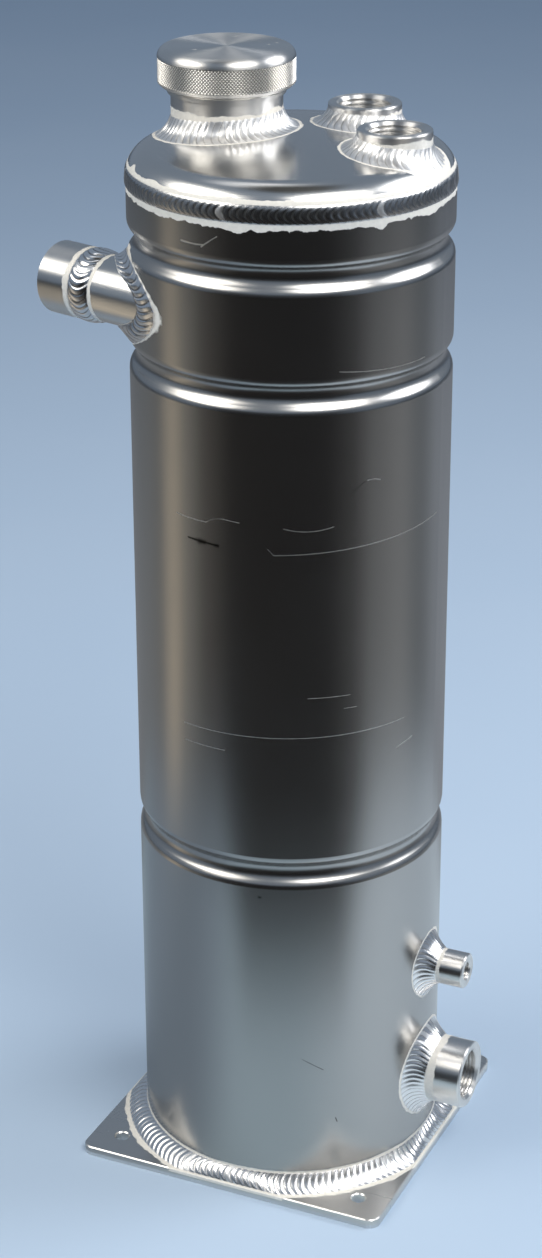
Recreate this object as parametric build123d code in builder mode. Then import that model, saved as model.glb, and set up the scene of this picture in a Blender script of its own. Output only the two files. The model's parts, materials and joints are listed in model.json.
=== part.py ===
from build123d import *
import math
import os

# Dry sump oil tank: a rolled aluminium tube closed by a spun dome and a base plate, with welded
# bosses, a swirl inlet, pressed baffles held by rolled grooves, and a knurled screw filler cap.
# Millimetres, +Z up; the origin is on the tank's axis at the underside of the base plate.

# Tank tube
tank_od = 152.4
tank_wall = 2.5
seam_z = 509.0

# Rolled grooves
groove_height = 17.0
groove_depth = 3.5
groove_inner_lip = 0.9
lower_groove_z = 183.4
upper_band = 15.8

# Baffles, pressed from sheet and trapped by the grooves
baffle_sheet = 1.5
baffle_fit = 0.15
baffle_land = 1.5
baffle_bend = 2.0
vent_hole_d = 40.0
drain_hole_d = 12.0
drain_inset = 13.0
rim_drain_count = 10
mid_drain_count = 5
mid_ring_r = 32.0

# Spun dome and the bead that joins it to the tube
dome_wall = 2.5
dome_knuckle = 13.0
crown_radius = 500.0
seam_bead_width = 9.0
seam_bead_crown = 1.6
seam_bevel_share = 0.7

# Base plate and its fillet weld
plate_margin = 6.3
plate_thickness = 5.0
plate_corner = 6.0
plate_hole_d = 7.0
plate_hole_inset = 15.8
plate_hole_break = 0.6
plate_edge_break = 0.5
base_weld_up = 6.5
base_weld_out = 9.8
base_weld_bulge = 0.8
weld_edge_gap = 0.4

# Threaded bosses
boss_od = 34.5
boss_bore_d = 24.1
boss_mouth_chamfer = 1.4
boss_rim_break = 0.6
boss_fit = 0.1

# Breather bosses on the dome
breather_rise = 25.0
breather_length = 17.0
front_breather_edge = 7.7
rear_breather_edge = 13.3
front_breather_angle = -1.0
breather_gap = 4.7
breather_weld = 7.0

# Outlet and sensor bosses on the tube
outlet_z = 47.3
outlet_reach = 23.8
outlet_weld = 8.0
sensor_spacing = 60.7
sensor_boss_od = 18.0
sensor_bore_d = 8.6
sensor_mouth_chamfer = 0.7
sensor_reach = 20.8
sensor_weld = 8.0
boss_inset = 4.2

# Swirl inlet
inlet_angle = 165.0
inlet_wall_gap = 5.8
socket_wall = 1.25
socket_depth = 5.0
stub_wall = 2.5
stub_showing = 11.5
stub_groove_gap = 3.1
inlet_boss_length = 19.5
inlet_bead_width = 9.0
inlet_bead_crown = 0.9
saddle_leg = 3.6
saddle_round = 2.4

# Filler neck
neck_od = 52.0
neck_wall = 5.0
neck_rise = 35.0
neck_length = 26.0
neck_lip = 1.5
neck_lip_height = 2.2
neck_edge = 1.8
neck_gap = 5.6
neck_weld = 9.0
neck_mouth_break = 0.6

# Filler cap and its O-ring
cap_od = 64.0
cap_height = 17.5
cap_gap = 1.0
cap_top_round = 4.5
cap_bottom_chamfer = 1.5
spigot_length = 14.0
spigot_wall = 5.0
spigot_break = 1.0
cap_crown = 8.0
thread_clearance = 0.35
seal_d = 3.0
seal_gap = 0.3
seal_land = 1.7

# Sizes that follow from the ones above
tank_r = tank_od / 2
inner_r = tank_r - tank_wall
boss_r = boss_od / 2
stub_r = boss_r - socket_wall - boss_fit
groove_half = groove_height / 2
groove_lip = groove_inner_lip + tank_wall + baffle_fit + baffle_sheet
groove_roll = 2 * math.atan2(groove_depth, groove_half)
upper_groove_z = seam_z - seam_bead_width / 2 - upper_band - groove_half
swirl_groove_z = upper_groove_z - groove_height - 2 * (stub_r + stub_groove_gap)
inlet_z = (upper_groove_z + swirl_groove_z) / 2
groove_centres = [lower_groove_z, swirl_groove_z, upper_groove_z]
seam_bevel = seam_bevel_share * min(tank_wall, dome_wall)
plate_side = tank_od + 2 * plate_margin
hole_spacing = plate_side - 2 * plate_hole_inset
sensor_z = outlet_z + sensor_spacing
outlet_mouth_x = tank_r + outlet_reach
sensor_mouth_x = tank_r + sensor_reach
boss_start_x = inner_r - boss_inset
knuckle_r = tank_r - dome_knuckle
crown_z = seam_z - math.sqrt((crown_radius - dome_knuckle) ** 2 - knuckle_r**2)
crown_tilt = math.asin(knuckle_r / (crown_radius - dome_knuckle))

front_offset = tank_r - boss_r - front_breather_edge
rear_offset = tank_r - boss_r - rear_breather_edge
breather_spacing = boss_od + 2 * breather_weld + breather_gap
breather_turn = math.degrees(
    math.acos(
        (front_offset**2 + rear_offset**2 - breather_spacing**2) / (2 * front_offset * rear_offset)
    )
)
rear_breather_angle = front_breather_angle + breather_turn
breather_mouth_z = seam_z + breather_rise

neck_r = neck_od / 2
neck_bore_r = neck_r - neck_wall
neck_top_z = seam_z + neck_rise
neck_offset = knuckle_r - neck_r - neck_edge
neck_spacing = neck_r + neck_weld + neck_gap + breather_weld + boss_r
neck_turn = math.degrees(
    math.acos((neck_offset**2 + rear_offset**2 - neck_spacing**2) / (2 * neck_offset * rear_offset))
)
neck_angle = rear_breather_angle + neck_turn
cap_r = cap_od / 2
cap_bottom_z = neck_top_z + cap_gap
spigot_r = neck_bore_r - thread_clearance
seal_r = neck_bore_r + seal_land + seal_d / 2
seal_z = neck_top_z + seal_gap + seal_d / 2


def on_dome(offset, angle):
    """Plan position at a distance from the tank's axis, in a direction in degrees."""
    return (offset * math.cos(math.radians(angle)), offset * math.sin(math.radians(angle)))


neck_xy = on_dome(neck_offset, neck_angle)
front_xy = on_dome(front_offset, front_breather_angle)
rear_xy = on_dome(rear_offset, rear_breather_angle)

# The inlet's axis: its foot is the point nearest to the tank's axis, and it points out of the tank
inlet_offset = inner_r - stub_r - inlet_wall_gap
inlet_foot = on_dome(inlet_offset, inlet_angle + 90)
inlet_plane = Plane(
    origin=(inlet_foot[0], inlet_foot[1], inlet_z),
    x_dir=(0, 0, 1),
    z_dir=(math.cos(math.radians(inlet_angle)), math.sin(math.radians(inlet_angle)), 0),
)
inlet_back = math.sqrt(tank_r**2 - (inlet_offset - stub_r) ** 2) + stub_showing
inlet_mouth = inlet_back + inlet_boss_length


def rolled_line(inset, bottom_z, top_z, centres):
    """One side of a sheet, set inside the tank's outer surface, going up through rolled grooves."""
    wall_x = tank_r - inset
    lip = groove_lip - inset
    lip_x = tank_r - groove_lip
    roll_point = (lip_x + lip * math.cos(groove_roll), lip * math.sin(groove_roll))
    half_point = (lip_x + lip * math.cos(groove_roll / 2), lip * math.sin(groove_roll / 2))
    start = (wall_x, bottom_z)
    for centre in centres:
        low = centre - groove_half
        high = centre + groove_half
        low_roll = (roll_point[0], low + roll_point[1])
        high_roll = (roll_point[0], high - roll_point[1])
        Line(start, (wall_x, low))
        ThreePointArc((wall_x, low), (half_point[0], low + half_point[1]), low_roll)
        ThreePointArc(low_roll, (wall_x - groove_depth, centre), high_roll)
        ThreePointArc(high_roll, (half_point[0], high - half_point[1]), (wall_x, high))
        start = (wall_x, high)
    Line(start, (wall_x, top_z))


def dome_line(inset):
    """One side of the dome's wall, from the seam round the knuckle to the crown's middle."""
    knuckle = dome_knuckle - inset
    sphere = crown_radius - inset
    knuckle_turn = math.pi / 2 - crown_tilt
    end = (knuckle_r + knuckle * math.cos(knuckle_turn), seam_z + knuckle * math.sin(knuckle_turn))
    middle = (
        knuckle_r + knuckle * math.cos(knuckle_turn / 2),
        seam_z + knuckle * math.sin(knuckle_turn / 2),
    )
    crown_middle = (
        sphere * math.sin(crown_tilt / 2),
        crown_z + sphere * math.cos(crown_tilt / 2),
    )
    ThreePointArc((tank_r - inset, seam_z), middle, end)
    ThreePointArc(end, crown_middle, (0, crown_z + sphere))


# The V between the tube and the dome that the seam's bead fills
prep_root_x = tank_r - seam_bevel
prep_reach = 2 * seam_bevel
weld_preparation = [
    (prep_root_x, seam_z),
    (prep_root_x + prep_reach, seam_z - prep_reach),
    (prep_root_x + prep_reach, seam_z + prep_reach),
]

# Forms that the pieces are fitted to: the tank and the dome filled solid, and the inlet's tube
with BuildPart() as tank_form:
    with BuildSketch(Plane.XZ):
        with BuildLine():
            rolled_line(0, plate_thickness, seam_z, groove_centres)
            Polyline((tank_r, plate_thickness), (0, plate_thickness), (0, seam_z), (tank_r, seam_z))
        make_face()
    revolve(axis=Axis.Z)

with BuildPart() as dome_form:
    with BuildSketch(Plane.XZ):
        with BuildLine():
            dome_line(0)
            Polyline((tank_r, seam_z), (0, seam_z), (0, crown_z + crown_radius))
        make_face()
    revolve(axis=Axis.Z)

with BuildPart() as inlet_form:
    with BuildSketch(inlet_plane):
        Circle(stub_r)
    extrude(amount=inlet_back)


def round_bar(plane, radius, start, end):
    """A plain round bar along a plane's normal."""
    with BuildPart() as bar:
        with BuildSketch(plane.offset(start)):
            Circle(radius)
        extrude(amount=end - start)
    return bar.part


def threaded_boss(plane, radius, bore_r, mouth_chamfer, start, end):
    """A turned boss along a plane's normal, with a plain bore at the thread's crests."""
    with BuildPart() as boss:
        with BuildSketch(plane.offset(start)):
            Circle(radius)
            Circle(bore_r, mode=Mode.SUBTRACT)
        extrude(amount=end - start)
        rims = boss.edges().filter_by(GeomType.CIRCLE)
        mouth = [rim for rim in rims if abs(plane.to_local_coords(rim.arc_center).Z - end) < boss_fit]
        chamfer([rim for rim in mouth if rim.radius < (radius + bore_r) / 2], mouth_chamfer)
        chamfer([rim for rim in mouth if rim.radius > (radius + bore_r) / 2], boss_rim_break)
    return boss.part


def fillet_weld(host, piece, leg):
    """The concave fillet of weld metal between a round piece and the skin that it stands on."""
    with BuildPart() as weld:
        add(host)
        add(piece)
        fillet(weld.edges(Select.NEW), leg)
        add(piece, mode=Mode.SUBTRACT)
        add(host, mode=Mode.SUBTRACT)
    return weld.part


def save(part, name):
    """Label a finished piece and write its file."""
    part.label = name
    export_step(part, f"parts/{name}.step")


neck_plane = Plane.XY.move(Location((neck_xy[0], neck_xy[1], 0)))
front_plane = Plane.XY.move(Location((front_xy[0], front_xy[1], 0)))
rear_plane = Plane.XY.move(Location((rear_xy[0], rear_xy[1], 0)))
outlet_plane = Plane(origin=(0, 0, outlet_z), x_dir=(0, 1, 0), z_dir=(1, 0, 0))
sensor_plane = Plane(origin=(0, 0, sensor_z), x_dir=(0, 1, 0), z_dir=(1, 0, 0))
breather_start_z = breather_mouth_z - breather_length
neck_start_z = neck_top_z - neck_length

# Base plate, with four fixing holes
with BuildPart() as base_plate:
    with BuildSketch():
        RectangleRounded(plate_side, plate_side, plate_corner)
        with GridLocations(hole_spacing, hole_spacing, 2, 2):
            Circle(plate_hole_d / 2, mode=Mode.SUBTRACT)
    extrude(amount=plate_thickness)
    top_edges = base_plate.faces().sort_by(Axis.Z)[-1]
    chamfer(top_edges.outer_wire().edges(), plate_edge_break)
    hole_rims = base_plate.faces().sort_by(Axis.Z)[-1].inner_wires()
    chamfer([rim.edge() for rim in hole_rims], plate_hole_break)

# Fillet weld round the tube's foot, running out at the middle of each side of the plate
with BuildPart() as base_weld:
    with BuildSketch(Plane.XZ):
        with BuildLine():
            toe = (tank_r + base_weld_out, plate_thickness)
            crest = (tank_r, plate_thickness + base_weld_up)
            face_turn = math.atan2(base_weld_out, base_weld_up)
            bulge = (
                (toe[0] + crest[0]) / 2 + base_weld_bulge * math.cos(face_turn),
                (toe[1] + crest[1]) / 2 + base_weld_bulge * math.sin(face_turn),
            )
            ThreePointArc(toe, bulge, crest)
            Polyline(crest, (tank_r, plate_thickness), toe)
        make_face()
    revolve(axis=Axis.Z)
    with BuildSketch(Plane.XY.offset(plate_thickness)):
        weld_limit = plate_side - 2 * (plate_edge_break + weld_edge_gap)
        Rectangle(weld_limit, weld_limit)
    extrude(amount=2 * base_weld_up, mode=Mode.INTERSECT)

# Tank tube, with its rolled grooves and the holes for the side fittings
with BuildPart() as tank_shell:
    with BuildSketch(Plane.XZ) as shell_section:
        with BuildLine():
            rolled_line(0, plate_thickness, seam_z, groove_centres)
            rolled_line(tank_wall, plate_thickness, seam_z, groove_centres)
            Line((inner_r, plate_thickness), (tank_r, plate_thickness))
            Line((inner_r, seam_z), (tank_r, seam_z))
        make_face()
        Polygon(*weld_preparation, align=Align.NONE, mode=Mode.SUBTRACT)
    revolve(axis=Axis.Z)
    add(round_bar(outlet_plane, boss_r + boss_fit, 0, outlet_mouth_x), mode=Mode.SUBTRACT)
    add(round_bar(sensor_plane, sensor_boss_od / 2 + boss_fit, 0, sensor_mouth_x), mode=Mode.SUBTRACT)
    add(round_bar(inlet_plane, stub_r + boss_fit, 0, inlet_back), mode=Mode.SUBTRACT)

# Spun dome, with the holes for the neck and the breather bosses
with BuildPart() as top_dome:
    with BuildSketch(Plane.XZ) as dome_section:
        with BuildLine():
            dome_line(0)
            dome_line(dome_wall)
            Line((tank_r - dome_wall, seam_z), (tank_r, seam_z))
            Line((0, crown_z + crown_radius - dome_wall), (0, crown_z + crown_radius))
        make_face()
        Polygon(*weld_preparation, align=Align.NONE, mode=Mode.SUBTRACT)
    revolve(axis=Axis.Z)
    add(round_bar(neck_plane, neck_r + boss_fit, seam_z, neck_top_z), mode=Mode.SUBTRACT)
    for plane in (front_plane, rear_plane):
        add(round_bar(plane, boss_r + boss_fit, seam_z, breather_mouth_z), mode=Mode.SUBTRACT)

# Bead along the seam, filling the V and crowned over it
with BuildPart() as dome_weld:
    with BuildSketch(Plane.XZ):
        half_bead = seam_bead_width / 2
        with BuildLine():
            bead_low = (tank_r, seam_z - half_bead)
            bead_high = (knuckle_r + math.sqrt(dome_knuckle**2 - half_bead**2), seam_z + half_bead)
            ThreePointArc(bead_low, (tank_r + seam_bead_crown, seam_z), bead_high)
            Polyline(bead_high, (tank_r - seam_bevel, seam_z), bead_low)
        make_face()
        add(shell_section.sketch_local, mode=Mode.SUBTRACT)
        add(dome_section.sketch_local, mode=Mode.SUBTRACT)
    revolve(axis=Axis.Z)

# Filler neck, with a lip round its mouth
with BuildPart() as filler_neck:
    with BuildSketch(neck_plane.offset(neck_start_z)):
        Circle(neck_r)
    extrude(amount=neck_length)
    with BuildSketch(neck_plane.offset(neck_top_z - neck_lip_height)):
        Circle(neck_r + neck_lip)
    extrude(amount=neck_lip_height)
    with BuildSketch(neck_plane.offset(neck_start_z)):
        Circle(neck_bore_r)
    extrude(amount=neck_length, mode=Mode.SUBTRACT)
    neck_mouth = filler_neck.faces().sort_by(Axis.Z)[-1]
    chamfer(neck_mouth.edges(), neck_mouth_break)

filler_neck_weld = fillet_weld(
    dome_form.part, round_bar(neck_plane, neck_r, neck_start_z, neck_top_z), neck_weld
)

# Screw cap: knurled head, O-ring groove, and a hollow spigot that screws into the neck
with BuildPart() as filler_cap:
    with BuildSketch(neck_plane.offset(cap_bottom_z)):
        Circle(cap_r)
    extrude(amount=cap_height)
    head_rims = filler_cap.edges().filter_by(GeomType.CIRCLE).sort_by(Axis.Z)
    fillet(head_rims[-1], cap_top_round)
    chamfer(head_rims[0], cap_bottom_chamfer)
    with BuildSketch(neck_plane.offset(cap_bottom_z - spigot_length)):
        Circle(spigot_r)
    extrude(amount=spigot_length)
    chamfer(filler_cap.edges().filter_by(GeomType.CIRCLE).sort_by(Axis.Z)[0], spigot_break)
    with BuildSketch(neck_plane.offset(cap_bottom_z - spigot_length)):
        Circle(spigot_r - spigot_wall)
    extrude(amount=spigot_length + cap_height - cap_crown, mode=Mode.SUBTRACT)
    groove_width = seal_d + 2 * seal_gap
    with BuildSketch(neck_plane.offset(cap_bottom_z)):
        Circle(seal_r + groove_width / 2)
        Circle(seal_r - groove_width / 2, mode=Mode.SUBTRACT)
    extrude(amount=seal_z + groove_width / 2 - cap_bottom_z, mode=Mode.SUBTRACT)

# O-ring under the cap's head
with BuildPart() as cap_seal:
    with BuildSketch(Plane(origin=(neck_xy[0], neck_xy[1], seal_z), x_dir=(1, 0, 0), z_dir=(0, -1, 0))):
        with Locations((seal_r, 0)):
            Circle(seal_d / 2)
    revolve(axis=Axis((neck_xy[0], neck_xy[1], 0), (0, 0, 1)))

# Breather bosses, set through the dome
front_breather_boss = threaded_boss(
    front_plane, boss_r, boss_bore_d / 2, boss_mouth_chamfer, breather_start_z, breather_mouth_z
)
rear_breather_boss = threaded_boss(
    rear_plane, boss_r, boss_bore_d / 2, boss_mouth_chamfer, breather_start_z, breather_mouth_z
)
front_breather_weld = fillet_weld(
    dome_form.part, round_bar(front_plane, boss_r, breather_start_z, breather_mouth_z), breather_weld
)
rear_breather_weld = fillet_weld(
    dome_form.part, round_bar(rear_plane, boss_r, breather_start_z, breather_mouth_z), breather_weld
)

# Outlet and sensor bosses, set through the tube
outlet_boss = threaded_boss(
    outlet_plane, boss_r, boss_bore_d / 2, boss_mouth_chamfer, boss_start_x, outlet_mouth_x
)
sensor_boss = threaded_boss(
    sensor_plane, sensor_boss_od / 2, sensor_bore_d / 2, sensor_mouth_chamfer, boss_start_x, sensor_mouth_x
)
outlet_weld_bead = fillet_weld(
    tank_form.part, round_bar(outlet_plane, boss_r, boss_start_x, outlet_mouth_x), outlet_weld
)
sensor_weld_bead = fillet_weld(
    tank_form.part, round_bar(sensor_plane, sensor_boss_od / 2, boss_start_x, sensor_mouth_x), sensor_weld
)

# Inlet stub, coped flush with the inside of the tube so that oil enters along the wall
with BuildPart() as inlet_stub:
    with BuildSketch(inlet_plane):
        Circle(stub_r)
        Circle(stub_r - stub_wall, mode=Mode.SUBTRACT)
    extrude(amount=inlet_back + socket_depth)
    with BuildSketch():
        Circle(inner_r)
    extrude(amount=seam_z, mode=Mode.SUBTRACT)

# Inlet boss, with a socket for the stub
with BuildPart() as inlet_boss:
    add(
        threaded_boss(
            inlet_plane, boss_r, boss_bore_d / 2, boss_mouth_chamfer, inlet_back, inlet_mouth
        )
    )
    add(
        round_bar(inlet_plane, stub_r + boss_fit, inlet_back, inlet_back + socket_depth),
        mode=Mode.SUBTRACT,
    )

# Bead from the inlet boss down to the stub
inlet_section_plane = Plane(
    origin=inlet_plane.origin, x_dir=inlet_plane.z_dir, z_dir=inlet_plane.z_dir.cross(Vector(0, 0, 1))
)
with BuildPart() as inlet_boss_weld:
    with BuildSketch(inlet_section_plane):
        with BuildLine():
            bead_start = (inlet_back - inlet_bead_width, stub_r)
            bead_end = (inlet_back, boss_r)
            bead_middle = (
                inlet_back - inlet_bead_width / 2,
                (stub_r + boss_r) / 2 + inlet_bead_crown,
            )
            ThreePointArc(bead_start, bead_middle, bead_end)
            Polyline(bead_end, (inlet_back, stub_r), bead_start)
        make_face()
    revolve(axis=Axis(inlet_plane.origin, inlet_plane.z_dir))

# Saddle bead where the stub runs into the tube: all that lies within a leg of both skins
with BuildPart() as inlet_stub_weld:
    with BuildSketch():
        Circle(tank_r + saddle_leg)
    extrude(amount=seam_z)
    add(round_bar(inlet_plane, stub_r + saddle_leg, 0, inlet_mouth), mode=Mode.INTERSECT)
    saddle_rim = inlet_stub_weld.edges().sort_by(SortBy.LENGTH)[-1]
    fillet(saddle_rim, saddle_round)
    add(tank_form.part, mode=Mode.SUBTRACT)
    add(inlet_form.part, mode=Mode.SUBTRACT)
    add(inlet_boss_weld.part, mode=Mode.SUBTRACT)


def pressed_baffle(groove_z, centre_hole_d, drain_rings):
    """A sheet tray whose rim is rolled into one of the tube's grooves, with holes in its floor."""
    rim_inset = tank_wall + baffle_fit
    rim_r = tank_r - rim_inset
    rim_low = groove_z - groove_half - baffle_land
    rim_top = groove_z + groove_half + baffle_land
    bend_x = rim_r - baffle_sheet - baffle_bend
    floor_z = rim_low - baffle_bend - baffle_sheet
    with BuildPart() as baffle:
        with BuildSketch(Plane.XZ):
            with BuildLine():
                rolled_line(rim_inset, rim_low, rim_top, [groove_z])
                rolled_line(rim_inset + baffle_sheet, rim_low, rim_top, [groove_z])
                Line((rim_r - baffle_sheet, rim_top), (rim_r, rim_top))
                RadiusArc((rim_r, rim_low), (bend_x, floor_z), baffle_bend + baffle_sheet)
                RadiusArc((rim_r - baffle_sheet, rim_low), (bend_x, floor_z + baffle_sheet), baffle_bend)
                Polyline(
                    (bend_x, floor_z),
                    (centre_hole_d / 2, floor_z),
                    (centre_hole_d / 2, floor_z + baffle_sheet),
                    (bend_x, floor_z + baffle_sheet),
                )
            make_face()
        revolve(axis=Axis.Z)
        with BuildSketch(Plane.XY.offset(floor_z)):
            for ring_r, count in drain_rings:
                with PolarLocations(ring_r, count):
                    Circle(drain_hole_d / 2)
        extrude(amount=baffle_sheet, mode=Mode.SUBTRACT)
    return baffle.part


rim_ring_r = inner_r - drain_inset
rim_ring = (rim_ring_r, rim_drain_count)
mid_ring = (mid_ring_r, mid_drain_count)
upper_baffle = pressed_baffle(upper_groove_z, vent_hole_d, [rim_ring])
swirl_baffle = pressed_baffle(swirl_groove_z, vent_hole_d, [rim_ring])
lower_baffle = pressed_baffle(lower_groove_z, drain_hole_d, [rim_ring, mid_ring])

os.makedirs("parts", exist_ok=True)
save(base_plate.part, "base_plate")
save(base_weld.part, "base_weld")
save(tank_shell.part, "tank_shell")
save(top_dome.part, "top_dome")
save(dome_weld.part, "dome_weld")
save(filler_neck.part, "filler_neck")
save(filler_neck_weld, "filler_neck_weld")
save(filler_cap.part, "filler_cap")
save(cap_seal.part, "cap_seal")
save(front_breather_boss, "front_breather_boss")
save(rear_breather_boss, "rear_breather_boss")
save(front_breather_weld, "front_breather_weld")
save(rear_breather_weld, "rear_breather_weld")
save(outlet_boss, "outlet_boss")
save(outlet_weld_bead, "outlet_boss_weld")
save(sensor_boss, "sensor_boss")
save(sensor_weld_bead, "sensor_boss_weld")
save(inlet_stub.part, "inlet_stub")
save(inlet_stub_weld.part, "inlet_stub_weld")
save(inlet_boss.part, "inlet_boss")
save(inlet_boss_weld.part, "inlet_boss_weld")
save(upper_baffle, "upper_baffle")
save(swirl_baffle, "swirl_baffle")
save(lower_baffle, "lower_baffle")
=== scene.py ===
import json
import math
from functools import partial
from typing import Callable, NamedTuple

import bpy
from mathutils import Matrix, Vector


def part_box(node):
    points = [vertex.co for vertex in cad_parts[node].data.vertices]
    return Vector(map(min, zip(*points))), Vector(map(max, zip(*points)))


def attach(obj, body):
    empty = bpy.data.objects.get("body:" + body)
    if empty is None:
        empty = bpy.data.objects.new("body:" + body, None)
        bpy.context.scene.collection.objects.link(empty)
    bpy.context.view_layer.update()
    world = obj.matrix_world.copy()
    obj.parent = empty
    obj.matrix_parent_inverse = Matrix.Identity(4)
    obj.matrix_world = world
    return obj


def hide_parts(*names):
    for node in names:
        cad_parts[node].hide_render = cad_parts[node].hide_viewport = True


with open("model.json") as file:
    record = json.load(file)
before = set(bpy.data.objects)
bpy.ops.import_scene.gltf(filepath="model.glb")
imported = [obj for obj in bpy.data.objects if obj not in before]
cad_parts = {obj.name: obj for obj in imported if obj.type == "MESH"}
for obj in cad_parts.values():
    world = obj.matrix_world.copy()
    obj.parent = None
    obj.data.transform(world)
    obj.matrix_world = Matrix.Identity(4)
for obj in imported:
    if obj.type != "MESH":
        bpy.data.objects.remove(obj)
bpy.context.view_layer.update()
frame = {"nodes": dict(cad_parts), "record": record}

bl_info = {
    "name": "Dry Sump Oil Tank",
    "version": (1, 0, 0),
    "blender": (4, 5, 0),
    "location": "View3D > Sidebar > Oil Tank",
    "description": "Rippled welds, threads, knurl and aluminium finishes for a dry sump oil tank",
    "category": "Object",
}

MM = 0.001
UP = Vector((0, 0, 1))
ALONG_X = Vector((1, 0, 0))
FLAT = Vector((1, 1, 0))

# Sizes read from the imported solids
ports = {mount["name"]: mount for mount in frame["record"]["mounts"]}
shell_low, shell_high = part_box("tank_shell")
tank_r = shell_high.x
plate_top = shell_low.z
seam_z = shell_high.z
plate_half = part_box("base_plate")[1].x
boss_low, boss_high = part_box("outlet_boss")
boss_r = (boss_high.z - boss_low.z) / 2
sensor_low, sensor_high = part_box("sensor_boss")
sensor_r = (sensor_high.z - sensor_low.z) / 2
neck_low, neck_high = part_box("filler_neck")
neck_centre = Vector(((neck_low.x + neck_high.x) / 2, (neck_low.y + neck_high.y) / 2, 0))
cap_low, cap_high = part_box("filler_cap")
cap_r = (cap_high.x - cap_low.x) / 2

# Sizes that the solids' boxes don't give, as in the part's source
DOME_KNUCKLE = 13.0 * MM
CROWN_RADIUS = 500.0 * MM
SEAM_BEVEL = 1.75 * MM
BOSS_RIM = 0.6 * MM
BOSS_FIT = 0.1 * MM
SOCKET_DEPTH = 5.0 * MM
STUB_R = 15.9 * MM
NECK_R = 26.0 * MM
NECK_BORE_R = 21.0 * MM
NECK_LIP_HEIGHT = 2.2 * MM
NECK_BREAK = 0.6 * MM
CAP_HEIGHT = 17.5 * MM
CAP_TOP_ROUND = 4.5 * MM
CAP_CHAMFER = 1.5 * MM
CAP_CROWN = 8.0 * MM
SPIGOT_R = 20.65 * MM
SPIGOT_BORE_R = 15.65 * MM
SPIGOT_BREAK = 1.0 * MM
SEAL_R = 24.2 * MM
SEAL_GROOVE = 3.6 * MM
SEAL_GROOVE_DEPTH = 2.6 * MM
INLET_OFFSET = 52.0 * MM

# How wide the bead on the inlet boss is, how far toes sink into the metal, and where a ripple's crest lies
INLET_BEAD = 12.0 * MM
SINK = 0.15 * MM
CREST = 0.64

# Sizes worked out from those above
knuckle_r = tank_r - DOME_KNUCKLE
crown_z = seam_z - math.sqrt((CROWN_RADIUS - DOME_KNUCKLE) ** 2 - knuckle_r**2)
crown_edge = knuckle_r * CROWN_RADIUS / (CROWN_RADIUS - DOME_KNUCKLE)
cap_bottom = cap_high.z - CAP_HEIGHT
boss_mouth_chamfer = boss_high.x - ports["outlet_port"]["pos_m"][0]
inlet_mouth = Vector(ports["inlet_port"]["pos_m"])
inlet_axis = Vector(ports["inlet_port"]["axis"])
inlet_side = UP.cross(inlet_axis)
inlet_z = inlet_mouth.z
inlet_foot = inlet_side * INLET_OFFSET + UP * inlet_z
inlet_thread = ports["inlet_port"]["dims"]["length_mm"] * MM
inlet_back = (inlet_mouth - inlet_foot).dot(inlet_axis) - inlet_thread - SOCKET_DEPTH
outlet_z = ports["outlet_port"]["pos_m"][2]
sensor_z = ports["sensor_port"]["pos_m"][2]
front_breather = Vector(ports["front_breather_port"]["pos_m"]) * FLAT
rear_breather = Vector(ports["rear_breather_port"]["pos_m"]) * FLAT


# Settings that a user would change


class WeldSettings(bpy.types.PropertyGroup):
    """Shape and finish of the weld beads."""

    ripple_pitch: bpy.props.FloatProperty(
        name="Ripple Pitch", description="Distance from one ripple to the next",
        default=3.5 * MM, unit="LENGTH",
    )
    ripple_height: bpy.props.FloatProperty(
        name="Ripple Height", description="Height of a ripple over its valley",
        default=0.36 * MM, unit="LENGTH",
    )
    bow: bpy.props.FloatProperty(
        name="Bow", description="How far a ripple's middle runs ahead of its ends, in ripples",
        default=0.8,
    )
    wander: bpy.props.FloatProperty(
        name="Wander", description="Unevenness of the ripples, in ripples", default=0.3
    )
    scallop: bpy.props.FloatProperty(
        name="Scallop", description="How far each ripple pushes the bead's toes out",
        default=0.35 * MM, unit="LENGTH",
    )
    colour: bpy.props.FloatVectorProperty(
        name="Bead Colour", description="Colour of the weld metal",
        default=(0.88, 0.88, 0.885), subtype="COLOR",
    )
    etched: bpy.props.FloatVectorProperty(
        name="Etched Colour", description="Frosted border beside a weld",
        default=(0.97, 0.93, 0.85), subtype="COLOR",
    )


class TurnedSettings(bpy.types.PropertyGroup):
    """Threads, knurl and finish of the turned pieces."""

    port_pitch: bpy.props.FloatProperty(
        name="Port Thread", description="Thread pitch of the large ports",
        default=1.814 * MM, unit="LENGTH",
    )
    sensor_pitch: bpy.props.FloatProperty(
        name="Sensor Thread", description="Thread pitch of the sensor port",
        default=0.907 * MM, unit="LENGTH",
    )
    cap_pitch: bpy.props.FloatProperty(
        name="Cap Thread", description="Thread pitch of the filler cap",
        default=3.2 * MM, unit="LENGTH",
    )
    knurl_count: bpy.props.IntProperty(
        name="Knurl Count", description="Diamonds round the filler cap", default=126
    )
    knurl_rows: bpy.props.IntProperty(
        name="Knurl Rows", description="Rows of diamonds up the cap", default=13
    )
    knurl_depth: bpy.props.FloatProperty(
        name="Knurl Depth", description="Height of each diamond", default=0.6 * MM, unit="LENGTH"
    )
    colour: bpy.props.FloatVectorProperty(
        name="Turned Colour", description="Colour of the turned bar",
        default=(0.80, 0.79, 0.77), subtype="COLOR",
    )


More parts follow.
